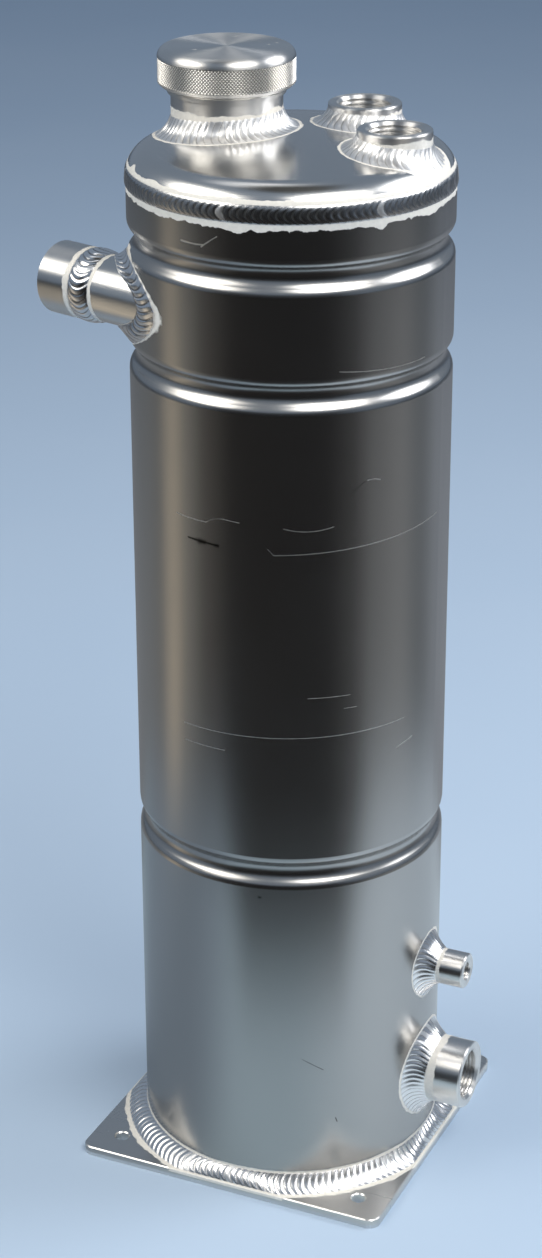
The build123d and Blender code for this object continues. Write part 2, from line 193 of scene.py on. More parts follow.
class SheetSettings(bpy.types.PropertyGroup):
    """Finishes of the sheet and plate pieces."""

    shell: bpy.props.FloatVectorProperty(
        name="Shell Colour", description="Colour of the rolled tube",
        default=(0.47, 0.465, 0.455), subtype="COLOR",
    )
    dome: bpy.props.FloatVectorProperty(
        name="Dome Colour", description="Colour of the spun dome",
        default=(0.72, 0.715, 0.70), subtype="COLOR",
    )
    plate: bpy.props.FloatVectorProperty(
        name="Plate Colour", description="Colour of the base plate",
        default=(0.70, 0.69, 0.67), subtype="COLOR",
    )
    seal: bpy.props.FloatVectorProperty(
        name="Seal Colour", description="Colour of the rubber seal",
        default=(0.02, 0.02, 0.022), subtype="COLOR",
    )


class StageSettings(bpy.types.PropertyGroup):
    """Floor, light and camera."""

    floor: bpy.props.FloatVectorProperty(
        name="Floor Colour", description="Colour of the plain floor",
        default=(0.43, 0.55, 0.70), subtype="COLOR",
    )
    sky: bpy.props.FloatVectorProperty(
        name="Surround Colour", description="Soft light from all round",
        default=(0.42, 0.52, 0.66), subtype="COLOR",
    )
    sky_strength: bpy.props.FloatProperty(
        name="Surround", description="Strength of the surround", default=0.45
    )
    key_power: bpy.props.FloatProperty(
        name="Key", description="Power of the light at the front", default=28.0
    )
    top_power: bpy.props.FloatProperty(
        name="Top", description="Power of the overhead light", default=3.0
    )
    side_power: bpy.props.FloatProperty(
        name="Sides", description="Power of the side lights", default=20.0
    )
    elevation: bpy.props.FloatProperty(
        name="Elevation", description="Camera's height as an angle",
        default=math.radians(24), subtype="ANGLE",
    )
    azimuth: bpy.props.FloatProperty(
        name="Azimuth", description="Camera's turn round the tank",
        default=math.radians(24), subtype="ANGLE",
    )
    pan: bpy.props.FloatProperty(
        name="Pan", description="Camera's sideways aim off the axis",
        default=math.radians(-0.4155), subtype="ANGLE",
    )
    distance: bpy.props.FloatProperty(
        name="Distance", description="Camera to the tank's axis", default=1.374, unit="LENGTH"
    )
    aim_height: bpy.props.FloatProperty(
        name="Aim Height", description="Height that the camera looks at",
        default=0.279, unit="LENGTH",
    )
    lens: bpy.props.FloatProperty(name="Lens", description="Focal length in millimetres", default=79.9)


# Node wiring


class Wires:
    """Short ways to add and join the nodes of one tree."""

    def __init__(self, tree):
        self.tree = tree

    def put(self, value, socket):
        if isinstance(value, bpy.types.NodeSocket):
            self.tree.links.new(value, socket)
        else:
            socket.default_value = value

    def add(self, kind, settings=None, values=None):
        made = self.tree.nodes.new(kind)
        for name, setting in (settings or {}).items():
            setattr(made, name, setting)
        for name, value in (values or {}).items():
            self.put(value, made.inputs[name])
        return made

    def calc(self, operation, *values):
        made = self.add("ShaderNodeMath", {"operation": operation})
        for value, socket in zip(values, made.inputs):
            self.put(value, socket)
        return made.outputs[0]

    def vector(self, operation, *values):
        made = self.add("ShaderNodeVectorMath", {"operation": operation})
        sockets = [made.inputs[0], made.inputs[3]] if operation == "SCALE" else made.inputs
        for value, socket in zip(values, sockets):
            self.put(value, socket)
        return made.outputs["Value" if operation in ("LENGTH", "DOT_PRODUCT", "DISTANCE") else "Vector"]

    def step(self, value, low, high):
        ends = {"Value": value, "From Min": low, "From Max": high}
        return self.add("ShaderNodeMapRange", {"interpolation_type": "SMOOTHSTEP"}, ends).outputs[0]

    def range(self, value, first, last):
        ends = {"Value": value, "To Min": first, "To Max": last}
        return self.add("ShaderNodeMapRange", None, ends).outputs[0]

    def blend(self, share, first, second):
        made = self.add("ShaderNodeMix", {"data_type": "RGBA"})
        for value, socket in ((share, 0), (first, 6), (second, 7)):
            self.put(value, made.inputs[socket])
        return made.outputs[2]

    def drift(self, value, most, first, second):
        """A first colour that moves by a share, at most this much, to a second one."""
        return self.blend(self.range(value, 0.0, most), rgba(first), rgba(second))

    def noise(self, vector, scale, detail=2.0, roughness=0.5):
        values = {"Vector": vector, "Scale": scale, "Detail": detail, "Roughness": roughness}
        return self.add("ShaderNodeTexNoise", None, values).outputs[0]

    def group(self, tree, values):
        return self.add("ShaderNodeGroup", {"node_tree": tree}, values).outputs

    def split(self, vector):
        return self.add("ShaderNodeSeparateXYZ", None, {"Vector": vector}).outputs

    def join(self, **parts):
        return self.add("ShaderNodeCombineXYZ", None, parts).outputs[0]

    def place(self):
        return self.add("ShaderNodeTexCoord").outputs["Object"]

    def mark(self, name):
        return self.add("ShaderNodeAttribute", {"attribute_name": name}).outputs["Fac"]

    def attribute(self, name, kind="FLOAT"):
        return self.add("GeometryNodeInputNamedAttribute", {"data_type": kind}, {"Name": name}).outputs[0]

    def store(self, geometry, name, value, kind="FLOAT", domain="POINT"):
        settings = {"data_type": kind, "domain": domain}
        values = {"Geometry": geometry, "Name": name, "Value": value}
        return self.add("GeometryNodeStoreNamedAttribute", settings, values).outputs[0]

    def moved(self, geometry, offset):
        values = {"Geometry": geometry, "Offset": offset}
        return self.add("GeometryNodeSetPosition", None, values).outputs[0]

    def product(self, first, *others):
        for other in others:
            first = self.calc("MULTIPLY", first, other)
        return first

    def clamp(self, value):
        return self.calc("MINIMUM", self.calc("MAXIMUM", value, 0.0), 1.0)

    def invert(self, value):
        return self.calc("SUBTRACT", 1.0, value)

    def from_axis(self, place):
        return self.vector("LENGTH", self.vector("MULTIPLY", place, FLAT))


def new_tree(name, kind, inputs, outputs):
    """An empty node group with named sockets; returns its wires, what it is given and its output node."""
    tree = bpy.data.node_groups.new(name, kind)
    for direction, sockets in (("INPUT", inputs), ("OUTPUT", outputs)):
        for label, shape, *default in sockets:
            socket = tree.interface.new_socket(label, in_out=direction, socket_type="NodeSocket" + shape)
            if default:
                socket.default_value = default[0]
    wires = Wires(tree)
    return wires, wires.add("NodeGroupInput").outputs, wires.add("NodeGroupOutput")


# Effects shared by the finishes


def axis_distance_effect():
    """Distance from the axis of a round fitting, on the side that it points to."""
    inputs = [("Vector", "Vector"), ("Point", "Vector"), ("Axis", "Vector")]
    wires, given, out = new_tree("axis_distance", "ShaderNodeTree", inputs, [("Distance", "Float")])
    offset = wires.vector("SUBTRACT", given["Vector"], given["Point"])
    along = wires.vector("DOT_PRODUCT", offset, given["Axis"])
    foot = wires.vector("SCALE", given["Axis"], along)
    across = wires.vector("LENGTH", wires.vector("SUBTRACT", offset, foot))
    behind = wires.calc("LESS_THAN", along, 0.0)
    wires.put(wires.calc("ADD", across, behind), out.inputs["Distance"])
    return wires.tree


def etch_effect():
    """Ragged frosted border that the arc leaves on the metal beside a bead."""
    inputs = [("Vector", "Vector"), ("Distance", "Float")]
    inputs += [("Reach", "Float", 4 * MM), ("Ragged", "Float", 2 * MM), ("Lumps", "Float", 2 * MM)]
    wires, given, out = new_tree("weld_etch", "ShaderNodeTree", inputs, [("Mask", "Float")])
    fine = wires.calc("SUBTRACT", wires.noise(given["Vector"], 170.0, 4.0, 0.65), 0.5)
    coarse = wires.step(wires.noise(given["Vector"], 42.0, 1.0), 0.52, 0.72)
    reach = wires.calc("MULTIPLY_ADD", fine, given["Ragged"], given["Reach"])
    reach = wires.calc("MULTIPLY_ADD", coarse, given["Lumps"], reach)
    inside = wires.calc("SUBTRACT", reach, given["Distance"])
    wires.put(wires.step(inside, -0.15 * MM, 0.25 * MM), out.inputs["Mask"])
    return wires.tree


def grain_effect():
    """Fine lines of a rolling or polishing finish, and broad clouds of handling."""
    inputs = [("Vector", "Vector"), ("Stretch", "Vector"), ("Clouds", "Float", 14.0)]
    outputs = [("Lines", "Float"), ("Cloud", "Float"), ("Speck", "Float")]
    wires, given, out = new_tree("sheet_grain", "ShaderNodeTree", inputs, outputs)
    drawn_out = wires.vector("MULTIPLY", given["Vector"], given["Stretch"])
    wires.put(wires.noise(drawn_out, 1.0, 3.0, 0.7), out.inputs["Lines"])
    wires.put(wires.noise(given["Vector"], given["Clouds"], 3.0, 0.6), out.inputs["Cloud"])
    wires.put(wires.step(wires.noise(given["Vector"], 420.0, 1.0), 0.74, 0.8), out.inputs["Speck"])
    return wires.tree


def scratch_effect():
    """One scratch on the unrolled shell, between two points given as arc and height."""
    inputs = [("Vector", "Vector"), ("Start", "Vector"), ("End", "Vector")]
    inputs += [("Sag", "Float", 0.0), ("Width", "Float", 0.3 * MM)]
    wires, given, out = new_tree("shell_scratch", "ShaderNodeTree", inputs, [("Mask", "Float")])
    run = wires.vector("SUBTRACT", given["End"], given["Start"])
    offset = wires.vector("SUBTRACT", given["Vector"], given["Start"])
    along = wires.vector("DOT_PRODUCT", offset, run)
    share = wires.calc("DIVIDE", along, wires.vector("DOT_PRODUCT", run, run))
    share = wires.clamp(share)
    near = wires.vector("ADD", given["Start"], wires.vector("SCALE", run, share))
    sag = wires.product(share, wires.invert(share), 4.0, given["Sag"])
    near = wires.vector("ADD", near, wires.join(Y=sag))
    gap = wires.vector("DISTANCE", given["Vector"], near)
    broken = wires.range(wires.noise(given["Vector"], 190.0, 2.0), 0.1, 1.9)
    width = wires.calc("MULTIPLY", given["Width"], broken)
    wires.put(wires.invert(wires.step(gap, 0.0, width)), out.inputs["Mask"])
    return wires.tree


def tool_marks_effect():
    """Fine rings left by a turning tool, along the piece's own outline."""
    outputs = [("Rings", "Float"), ("Bands", "Float")]
    wires, given, out = new_tree("tool_marks", "ShaderNodeTree", [("Along", "Float")], outputs)
    place = wires.join(X=given["Along"])
    wires.put(wires.noise(place, 5200.0, 1.0), out.inputs["Rings"])
    wires.put(wires.noise(place, 900.0, 2.0), out.inputs["Bands"])
    return wires.tree


# Finishes

# Borders that the arc frosts beside the welds, in millimetres: reach, raggedness and lumps
BORDERS = {
    "seam": (7.0, 5.0, 2.6),
    "foot": (7.4, 0.8, 0.4),
    "outlet": (26.2, 2.0, 0.5),
    "sensor": (18.0, 2.0, 0.5),
    "inlet": (22.6, 1.6, 0.3),
    "dome_seam": (6.1, 1.7, 2.4),
    "front_breather": (25.6, 1.8, 0.6),
    "rear_breather": (25.8, 1.8, 0.6),
    "neck": (34.9, 2.0, 0.6),
    "plate": (88.2, 4.0, 0.8),
    "stub": (1.6, 3.0, 1.0),
    "turned": (2.6, 4.0, 1.2),
}

# Weld metals: tone, which below one paints shade and above one paints light on the whole bead, painted shade
# in the ripple valleys, frost all over, least and most roughness
WELD_METALS = {
    # A darker copy of the weld metal, as painted shade, for the dome's seam
    "weld_metal_dull": (0.62, 0.6, 0.0, 0.20, 0.30),
    "weld_metal": (1.0, 1.0, 0.0, 0.18, 0.30),
    # A lighter copy of the weld metal, as painted light, with a light frost all over, for the neck and
    # breathers
    "weld_metal_bright": (1.06, 1.0, 0.14, 0.26, 0.40),
    # Darker valleys between the ripples, as painted shade, for the inlet's beads
    "weld_metal_sooty": (1.0, 2.0, 0.0, 0.13, 0.22),
}

# Second shades that the finishes drift to
FROST_SHADE = (0.66, 0.635, 0.58)
SHELL_SHADE = (0.38, 0.38, 0.38)
SCRATCH_SHADE = (0.86, 0.84, 0.80)
STAIN_SHADE = (0.01, 0.01, 0.01)
DOME_SHADE = (0.55, 0.55, 0.56)
PLATE_SHADE = (0.5, 0.5, 0.5)
PLATE_SPECK = (0.88, 0.87, 0.85)
TUBE_SHADE = (0.55, 0.55, 0.55)
PRESSED_SHADE = (0.68, 0.68, 0.69)
TURNED_SHADE = (0.62, 0.61, 0.60)
# Painted shade for the feet of the knurl's diamonds
PAINTED_KNURL_SHADE = (0.09, 0.085, 0.08)
# Painted shade for the valleys between a bead's ripples
PAINTED_VALLEY_SHADE = (0.24, 0.23, 0.22)
BEAD_SHADE = (0.62, 0.62, 0.63)
FRESH_SHADE = (0.92, 0.92, 0.92)
DUST_SHADE = (0.12, 0.12, 0.12)
EVEN_GRAIN = (300.0, 300.0, 300.0)


def new_finish(name):
    """A material with a principled shader; returns it with its wires and the shader."""
    material = bpy.data.materials.new(name)
    material.use_nodes = True
    material.node_tree.nodes.clear()
    wires = Wires(material.node_tree)
    shader = wires.add("ShaderNodeBsdfPrincipled")
    output = wires.add("ShaderNodeOutputMaterial")
    wires.put(shader.outputs["BSDF"], output.inputs["Surface"])
    return material, wires, shader


def bumped(wires, shader, height, distance, strength=1.0):
    values = {"Height": height, "Distance": distance, "Strength": strength}
    wires.put(wires.add("ShaderNodeBump", None, values).outputs[0], shader.inputs["Normal"])


def rgba(colour, tone=1.0):
    return (*(part * tone for part in colour), 1.0)


class Finishes:
    """The tank's materials, made once from the settings."""

    def __init__(self, tank):
        self.tank = tank
        self.axis_distance = axis_distance_effect()
        self.etch = etch_effect()
        self.grain = grain_effect()
        self.scratch = scratch_effect()
        self.tool_marks = tool_marks_effect()
        self.rolled = self.rolled_sheet()
        self.spun = self.spun_sheet()
        self.plate = self.mill_plate()
        self.tube = self.drawn_tube()
        self.pressed = self.pressed_sheet()
        self.turned = self.turned_bar()
        self.welds = {name: self.weld_metal(name, *look) for name, look in WELD_METALS.items()}
        self.rubber = self.seal_rubber()

    def fitting_distance(self, wires, place, point, axis):
        values = {"Vector": place, "Point": point, "Axis": axis}
        return wires.group(self.axis_distance, values)[0]

    def grained(self, wires, place, stretch, clouds):
        return wires.group(self.grain, {"Vector": place, "Stretch": stretch, "Clouds": clouds})

    def etched(self, wires, place, distances):
        """Where any of the named borders, each with the distance from its weld, covers the metal."""
        mask = 0.0
        for name, distance in distances.items():
            values = {"Vector": place, "Distance": distance}
            for label, size in zip(("Reach", "Ragged", "Lumps"), BORDERS[name]):
                values[label] = size * MM
            mask = wires.calc("MAXIMUM", mask, wires.group(self.etch, values)[0])
        return mask

    def scratched(self, wires, flat, lines):
        """Where any of the lines, given as two ends, sag and width, marks the unrolled shell."""
        mask = 0.0
        for start, end, sag, width in lines:
            ends = [(math.radians(turn_deg) * tank_r, z * MM, 0.0) for turn_deg, z in (start, end)]
            values = {"Vector": flat, "Start": ends[0], "End": ends[1]}
            values |= {"Sag": sag * MM, "Width": width * MM}
            mask = wires.calc("MAXIMUM", mask, wires.group(self.scratch, values)[0])
        return mask

    def metal(self, wires, shader, colour, rough, mask, dull=0.6, body=0.15):
        """Bare metal that turns frosted where the mask says."""
        speckle = wires.noise(wires.place(), 480.0, 3.0, 0.7)
        frosted = wires.drift(speckle, 0.7, self.tank.weld.etched, FROST_SHADE)
        wires.put(wires.blend(mask, colour, frosted), shader.inputs["Base Color"])
        wires.put(wires.range(mask, rough, dull), shader.inputs["Roughness"])
        wires.put(wires.range(mask, 1.0, body), shader.inputs["Metallic"])

    def rolled_sheet(self):
        material, wires, shader = new_finish("rolled_aluminium_satin")
        place = wires.place()
        parts = wires.split(place)
        grain = self.grained(wires, place, (2600.0, 2600.0, 50.0), 17.0)
        arc = wires.product(wires.calc("ARCTAN2", parts["Y"], parts["X"]), tank_r)
        flat = wires.join(X=arc, Y=parts["Z"])
        borders = {
            "seam": wires.calc("SUBTRACT", seam_z, parts["Z"]),
            "foot": wires.calc("SUBTRACT", parts["Z"], plate_top),
            "outlet": self.fitting_distance(wires, place, UP * outlet_z, ALONG_X),
            "sensor": self.fitting_distance(wires, place, UP * sensor_z, ALONG_X),
            "inlet": self.fitting_distance(wires, place, inlet_foot, inlet_axis),
        }
        mask = self.etched(wires, place, borders)
        marks, stain = (self.scratched(wires, flat, lines) for lines in (SHELL_SCRATCHES, SHELL_STAINS))
        colour = wires.drift(grain["Lines"], 0.3, self.tank.sheet.shell, SHELL_SHADE)
        colour = wires.blend(wires.product(marks, 0.85), colour, rgba(SCRATCH_SHADE))
        colour = wires.blend(wires.product(stain, 0.95), colour, rgba(STAIN_SHADE))
        rough = wires.range(grain["Lines"], 0.20, 0.23)
        rough = wires.calc("MULTIPLY_ADD", grain["Cloud"], 0.07, rough)
        rough = wires.calc("MULTIPLY_ADD", marks, 0.3, rough)
        self.metal(wires, shader, colour, rough, mask)
        relief = wires.calc("MULTIPLY_ADD", mask, 7.0, wires.product(grain["Lines"], 0.3))
        relief = wires.calc("MULTIPLY_ADD", marks, -10.0, relief)
        bumped(wires, shader, relief, 0.004 * MM)
        return material

    def spun_sheet(self):
        material, wires, shader = new_finish("spun_aluminium_polished")
        place = wires.place()
        rings = wires.noise(wires.join(X=wires.from_axis(place)), 2600.0, 2.0, 0.6)
        cloud = self.grained(wires, place, EVEN_GRAIN, 30.0)["Cloud"]
        borders = {
            "dome_seam": wires.calc("SUBTRACT", wires.split(place)["Z"], seam_z),
            "front_breather": self.fitting_distance(wires, place, front_breather, UP),
            "rear_breather": self.fitting_distance(wires, place, rear_breather, UP),
            "neck": self.fitting_distance(wires, place, neck_centre, UP),
        }
        mask = self.etched(wires, place, borders)
        rough = wires.calc("MULTIPLY_ADD", cloud, 0.08, wires.range(rings, 0.12, 0.22))
        colour = wires.drift(cloud, 0.25, self.tank.sheet.dome, DOME_SHADE)
        self.metal(wires, shader, colour, rough, mask)
        bumped(wires, shader, wires.calc("MULTIPLY_ADD", mask, 2.0, rings), 0.02 * MM)
        return material

    def mill_plate(self):
        material, wires, shader = new_finish("mill_plate")
        place = wires.place()
        grain = self.grained(wires, place, (22.0, 1400.0, 300.0), 38.0)
        under = wires.calc("LESS_THAN", wires.split(place)["Z"], plate_top * 0.6)
        mask = self.etched(wires, place, {"plate": wires.calc("ADD", wires.from_axis(place), under)})
        rough = wires.range(grain["Lines"], 0.16, 0.32)
        rough = wires.calc("MULTIPLY_ADD", grain["Cloud"], 0.12, rough)
        colour = wires.drift(grain["Cloud"], 0.35, self.tank.sheet.plate, PLATE_SHADE)
        colour = wires.blend(grain["Speck"], colour, rgba(PLATE_SPECK))
        self.metal(wires, shader, colour, rough, mask)
        bumped(wires, shader, wires.calc("MULTIPLY_ADD", mask, 2.0, grain["Lines"]), 0.03 * MM)
        return material

    def drawn_tube(self):
        material, wires, shader = new_finish("drawn_tube")
        place = wires.place()
        grain = self.grained(wires, place, (90.0, 90.0, 1800.0), 60.0)
        along = wires.vector("DOT_PRODUCT", wires.vector("SUBTRACT", place, inlet_foot), inlet_axis)
        mask = self.etched(wires, place, {"stub": wires.calc("SUBTRACT", inlet_back - INLET_BEAD, along)})
        rough = wires.range(grain["Lines"], 0.14, 0.3)
        colour = wires.drift(grain["Cloud"], 0.3, self.tank.sheet.dome, TUBE_SHADE)
        self.metal(wires, shader, colour, rough, mask)
        bumped(wires, shader, grain["Lines"], 0.03 * MM)
        return material

    def pressed_sheet(self):
        material, wires, shader = new_finish("pressed_sheet")
        grain = self.grained(wires, wires.place(), (30.0, 900.0, 200.0), 25.0)
        colour = wires.blend(grain["Cloud"], rgba(DOME_SHADE), rgba(PRESSED_SHADE))
        wires.put(colour, shader.inputs["Base Color"])
        shader.inputs["Metallic"].default_value = 1.0
        wires.put(wires.range(grain["Lines"], 0.3, 0.45), shader.inputs["Roughness"])
        bumped(wires, shader, grain["Lines"], 0.03 * MM)
        return material

    def turned_bar(self):
        material, wires, shader = new_finish("turned_bar")
        place = wires.place()
        pit = wires.mark("pit")
        marks = wires.group(self.tool_marks, {"Along": wires.mark("along")})
        cloud = wires.noise(place, 90.0, 3.0, 0.6)
        rough = wires.calc("MULTIPLY_ADD", cloud, 0.08, wires.range(marks["Rings"], 0.22, 0.34))
        colour = wires.drift(marks["Bands"], 0.3, self.tank.turned.colour, TURNED_SHADE)
        # Painted shade: the feet of the knurl's diamonds, down in its grooves, are darkened almost to black
        colour = wires.blend(wires.step(pit, 0.45, 1.0), colour, rgba(PAINTED_KNURL_SHADE))
        mask = self.etched(wires, place, {"turned": wires.mark("frost")})
        knurl = wires.step(pit, 0.0, 0.15)
        mask = wires.calc("MAXIMUM", mask, wires.product(knurl, 0.22))
        speck = self.grained(wires, place, EVEN_GRAIN, 14.0)["Speck"]
        on_top = wires.step(wires.split(place)["Z"], cap_high.z - 0.4 * MM, cap_high.z - 0.1 * MM)
        mask = wires.calc("MAXIMUM", mask, wires.product(speck, on_top, 0.6))
        self.metal(wires, shader, colour, rough, mask)
        shader.inputs["Anisotropic"].default_value = 0.9
        shader.inputs["Anisotropic Rotation"].default_value = 0.25
        tangent = wires.add("ShaderNodeTangent", {"direction_type": "UV_MAP", "uv_map": "lathe"})
        wires.put(tangent.outputs[0], shader.inputs["Tangent"])
        bumped(wires, shader, wires.calc("MULTIPLY_ADD", mask, 2.0, marks["Rings"]), 0.012 * MM)
        return material

    def weld_metal(self, name, tone, valley_shading, frost, rough_low, rough_high):
        material, wires, shader = new_finish(name)
        place = wires.place()
        edge = wires.step(wires.calc("ABSOLUTE", wires.mark("across")), 0.86, 0.97)
        edge = wires.product(edge, wires.range(wires.noise(place, 300.0, 2.0), 0.4, 1.2))
        edge = wires.calc("MAXIMUM", edge, frost)
        # Painted shade: the valleys between ripples are darkened towards grey-black, most on the inlet's
        # beads
        valley = wires.invert(wires.step(wires.mark("ripple"), 0.0, 0.5))
        valley_shade = wires.range(wires.noise(place, 120.0, 2.0), 0.45 * valley_shading, 1.1 * valley_shading)
        fresh = wires.step(wires.mark("chance"), 0.86, 0.96)
        cloud = wires.noise(place, 160.0, 3.0, 0.6)
        bare = rgba(self.tank.weld.colour, tone)
        colour = wires.blend(wires.product(valley, valley_shade), bare, rgba(PAINTED_VALLEY_SHADE, tone))
        colour = wires.blend(wires.range(cloud, 0.0, 0.25), colour, rgba(BEAD_SHADE, tone))
        colour = wires.blend(fresh, colour, rgba(FRESH_SHADE))
        rough = wires.calc("MULTIPLY_ADD", valley, 0.12, wires.range(cloud, rough_low, rough_high))
        rough = wires.calc("MULTIPLY_ADD", fresh, 0.14, rough)
        self.metal(wires, shader, colour, rough, edge, 0.55, 0.4)
        bumped(wires, shader, wires.noise(place, 1500.0, 3.0, 0.6), 0.05 * MM, 0.6)
        return material

    def seal_rubber(self):
        material, wires, shader = new_finish("seal_rubber_matt")
        dust = wires.noise(wires.place(), 260.0, 3.0, 0.6)
        wires.put(wires.drift(dust, 0.12, self.tank.sheet.seal, DUST_SHADE), shader.inputs["Base Color"])
        wires.put(wires.range(dust, 0.5, 0.75), shader.inputs["Roughness"])
        bumped(wires, shader, dust, 0.04 * MM)
        return material


# Scratches on the shell: turn in degrees and height in millimetres at each end, then sag and width
SHELL_SCRATCHES = [
    ((-105.8, 493.2), (-96.6, 493.0), -0.3, 0.55),
    ((-97.4, 492.0), (-91.4, 497.6), 0.2, 0.45),
    ((-109.9, 362.4), (-96.9, 361.8), -0.2, 0.34),
    ((-96.9, 361.8), (-90.0, 364.8), 0.9, 0.42),
    ((-90.0, 364.8), (-84.2, 364.1), 0.0, 0.1),
    ((-68.6, 362.6), (-51.2, 362.8), -1.6, 0.26),
    ((-74.2, 352.4), (-72.1, 349.4), 0.0, 0.1),
    ((-72.1, 349.4), (-2.0, 354.2), -0.3, 0.27),
    ((-38.8, 383.2), (-33.7, 382.3), 0.4, 0.32),
    ((-49.5, 436.8), (-13.2, 434.8), -1.0, 0.28),
    ((-108.0, 255.7), (-20.9, 256.8), 0.1, 0.2),
    ((-107.5, 246.8), (-90.5, 246.9), 0.0, 0.18),
    ((-24.5, 242.5), (-16.4, 244.7), 0.0, 0.28),
    ((-60.2, 277.0), (-44.7, 276.9), 0.0, 0.08),
    ((-47.0, 270.2), (-42.2, 270.2), 0.0, 0.07),
]
# Dark stains, in the same way
SHELL_STAINS = [
    ((-104.7, 352.1), (-92.0, 351.2), 0.0, 0.9),
    ((-99.8, 351.7), (-97.6, 351.5), 0.0, 2.2),
    ((-93.6, 351.3), (-92.4, 351.2), 0.0, 1.7),
    ((-44.5, 378.3), (-39.8, 382.8), 0.3, 0.34),
    ((-78.0, 170.2), (-77.4, 170.2), 0.0, 0.9),
    ((-49.0, 42.5), (-48.4, 40.2), 0.0, 0.5),
    ((-62.0, 79.0), (-54.0, 72.0), 0.0, 0.28),
]

# What the metal mirrors along the floor: degrees from the camera's side, then colour
CARD_TONES = [
    (-180, (0.26, 0.27, 0.29)),
    (-122, (0.26, 0.27, 0.28)),
    (-106, (0.22, 0.22, 0.22)),
    (-91, (0.64, 0.55, 0.43)),
    (-78, (0.25, 0.24, 0.22)),
    (-60, (0.085, 0.078, 0.07)),
    (-40, (0.022, 0.02, 0.019)),
    (24, (0.019, 0.018, 0.018)),
    (42, (0.05, 0.049, 0.048)),
    (60, (0.17, 0.17, 0.17)),
    (83, (0.235, 0.235, 0.235)),
    (101, (0.155, 0.165, 0.175)),
    (128, (0.30, 0.32, 0.35)),
    (180, (0.26, 0.27, 0.29)),
]
# Where those tones begin, in metres from the axis, and the patch inside them
CARD_START = (0.18, 0.40)
CARD_NEAR_FRONT = (0.40, 0.50, 0.57)
CARD_NEAR_RIGHT = (0.60, 0.68, 0.75)
CARD_NEAR_LEFT = (0.27, 0.33, 0.40)


# Geometry Nodes


def ripple_tree():
    """Raises the overlapping ripples of a hand-laid bead on a smooth ring of weld metal."""
    inputs = [
        ("Bead", "Geometry"),
        ("Ripples", "Int", 60),
        ("Height", "Float", 0.5 * MM),
        ("Bow", "Float", 1.0),
        ("Wander", "Float", 0.4),
        ("Scallop", "Float", 0.3 * MM),
        ("Crater Turn", "Float", 0.0),
        ("Crater Ripples", "Float", 1.6),
        ("Seed", "Int", 1),
        ("Material", "Material"),
    ]
    wires, given, out = new_tree("weld_ripples", "GeometryNodeTree", inputs, [("Bead", "Geometry")])
    turn, across, face = (wires.attribute(name) for name in ("turn", "across", "face"))
    spread = wires.attribute("spread", "FLOAT_VECTOR")
    spot = wires.add("GeometryNodeInputPosition").outputs[0]
    square = wires.product(across, across)
    shift = wires.product(wires.calc("SUBTRACT", wires.noise(spot, 45.0, 2.0), 0.5), given["Wander"], 2.0)
    lag = wires.product(square, given["Bow"])
    phase = wires.calc("SUBTRACT", wires.product(turn, given["Ripples"]), lag)
    phase = wires.calc("ADD", phase, shift)
    number = wires.calc("FLOORED_MODULO", wires.calc("FLOOR", phase), given["Ripples"])
    share = wires.calc("FRACT", phase)
    climb = wires.calc("MINIMUM", wires.calc("DIVIDE", share, CREST), 1.0)
    rise = wires.calc("SINE", wires.product(climb, math.pi / 2))
    fall = wires.calc("DIVIDE", wires.calc("SUBTRACT", share, CREST), 1.0 - CREST)
    fall = wires.product(wires.calc("MAXIMUM", fall, 0.0), math.pi / 2)
    hump = wires.product(rise, wires.calc("COSINE", fall))
    draw = {"Seed": given["Seed"], "ID": number}
    chance = wires.add("FunctionNodeRandomValue", {"data_type": "FLOAT"}, draw).outputs[1]
    uneven = wires.range(chance, 0.65, 1.3)
    shoulder = wires.calc("POWER", wires.calc("MAXIMUM", wires.invert(square), 0.0), 0.5)
    away = wires.calc("ADD", wires.calc("SUBTRACT", turn, given["Crater Turn"]), 0.5)
    away = wires.calc("ABSOLUTE", wires.calc("SUBTRACT", wires.calc("FRACT", away), 0.5))
    away = wires.calc("DIVIDE", wires.product(away, given["Ripples"]), given["Crater Ripples"])
    away = wires.vector("LENGTH", wires.join(X=away, Y=across))
    crater = wires.invert(wires.step(away, 0.75, 1.0))
    bowl = wires.calc("SUBTRACT", wires.step(away, 0.0, 0.8), 0.9)
    ends = {"Factor": crater, "A": wires.product(hump, uneven, shoulder), "B": bowl}
    lift = wires.add("ShaderNodeMix", {"data_type": "FLOAT"}, ends).outputs[0]
    lift = wires.product(lift, given["Height"], face)
    normal = wires.add("GeometryNodeInputNormal").outputs[0]
    push = wires.product(wires.calc("SUBTRACT", hump, 0.5), given["Scallop"])
    offset = wires.vector("ADD", wires.vector("SCALE", normal, lift), wires.vector("SCALE", spread, push))
    marked = wires.store(wires.store(given["Bead"], "ripple", hump), "chance", chance)
    end_tree(wires, wires.moved(marked, offset), given["Material"], out)
    return wires.tree


def thread_tree():
    """Cuts a helical thread into the marked run of a turned piece."""
    inputs = [("Piece", "Geometry"), ("Pitch", "Float", 1.8 * MM), ("Depth", "Float", 1.0 * MM)]
    inputs += [("Material", "Material")]
    wires, given, out = new_tree("screw_thread", "GeometryNodeTree", inputs, [("Piece", "Geometry")])
    phase = wires.calc("DIVIDE", wires.attribute("height"), given["Pitch"])
    phase = wires.calc("FRACT", wires.calc("SUBTRACT", phase, wires.attribute("turn")))
    ramp = wires.calc("ABSOLUTE", wires.calc("SUBTRACT", wires.product(phase, 2.0), 1.0))
    flank = wires.clamp(wires.calc("MULTIPLY_ADD", ramp, 1.3, -0.15))
    depth = wires.product(flank, given["Depth"], wires.attribute("thread"))
    offset = wires.vector("SCALE", wires.attribute("radial", "FLOAT_VECTOR"), depth)
    end_tree(wires, wires.moved(given["Piece"], offset), given["Material"], out)
    return wires.tree


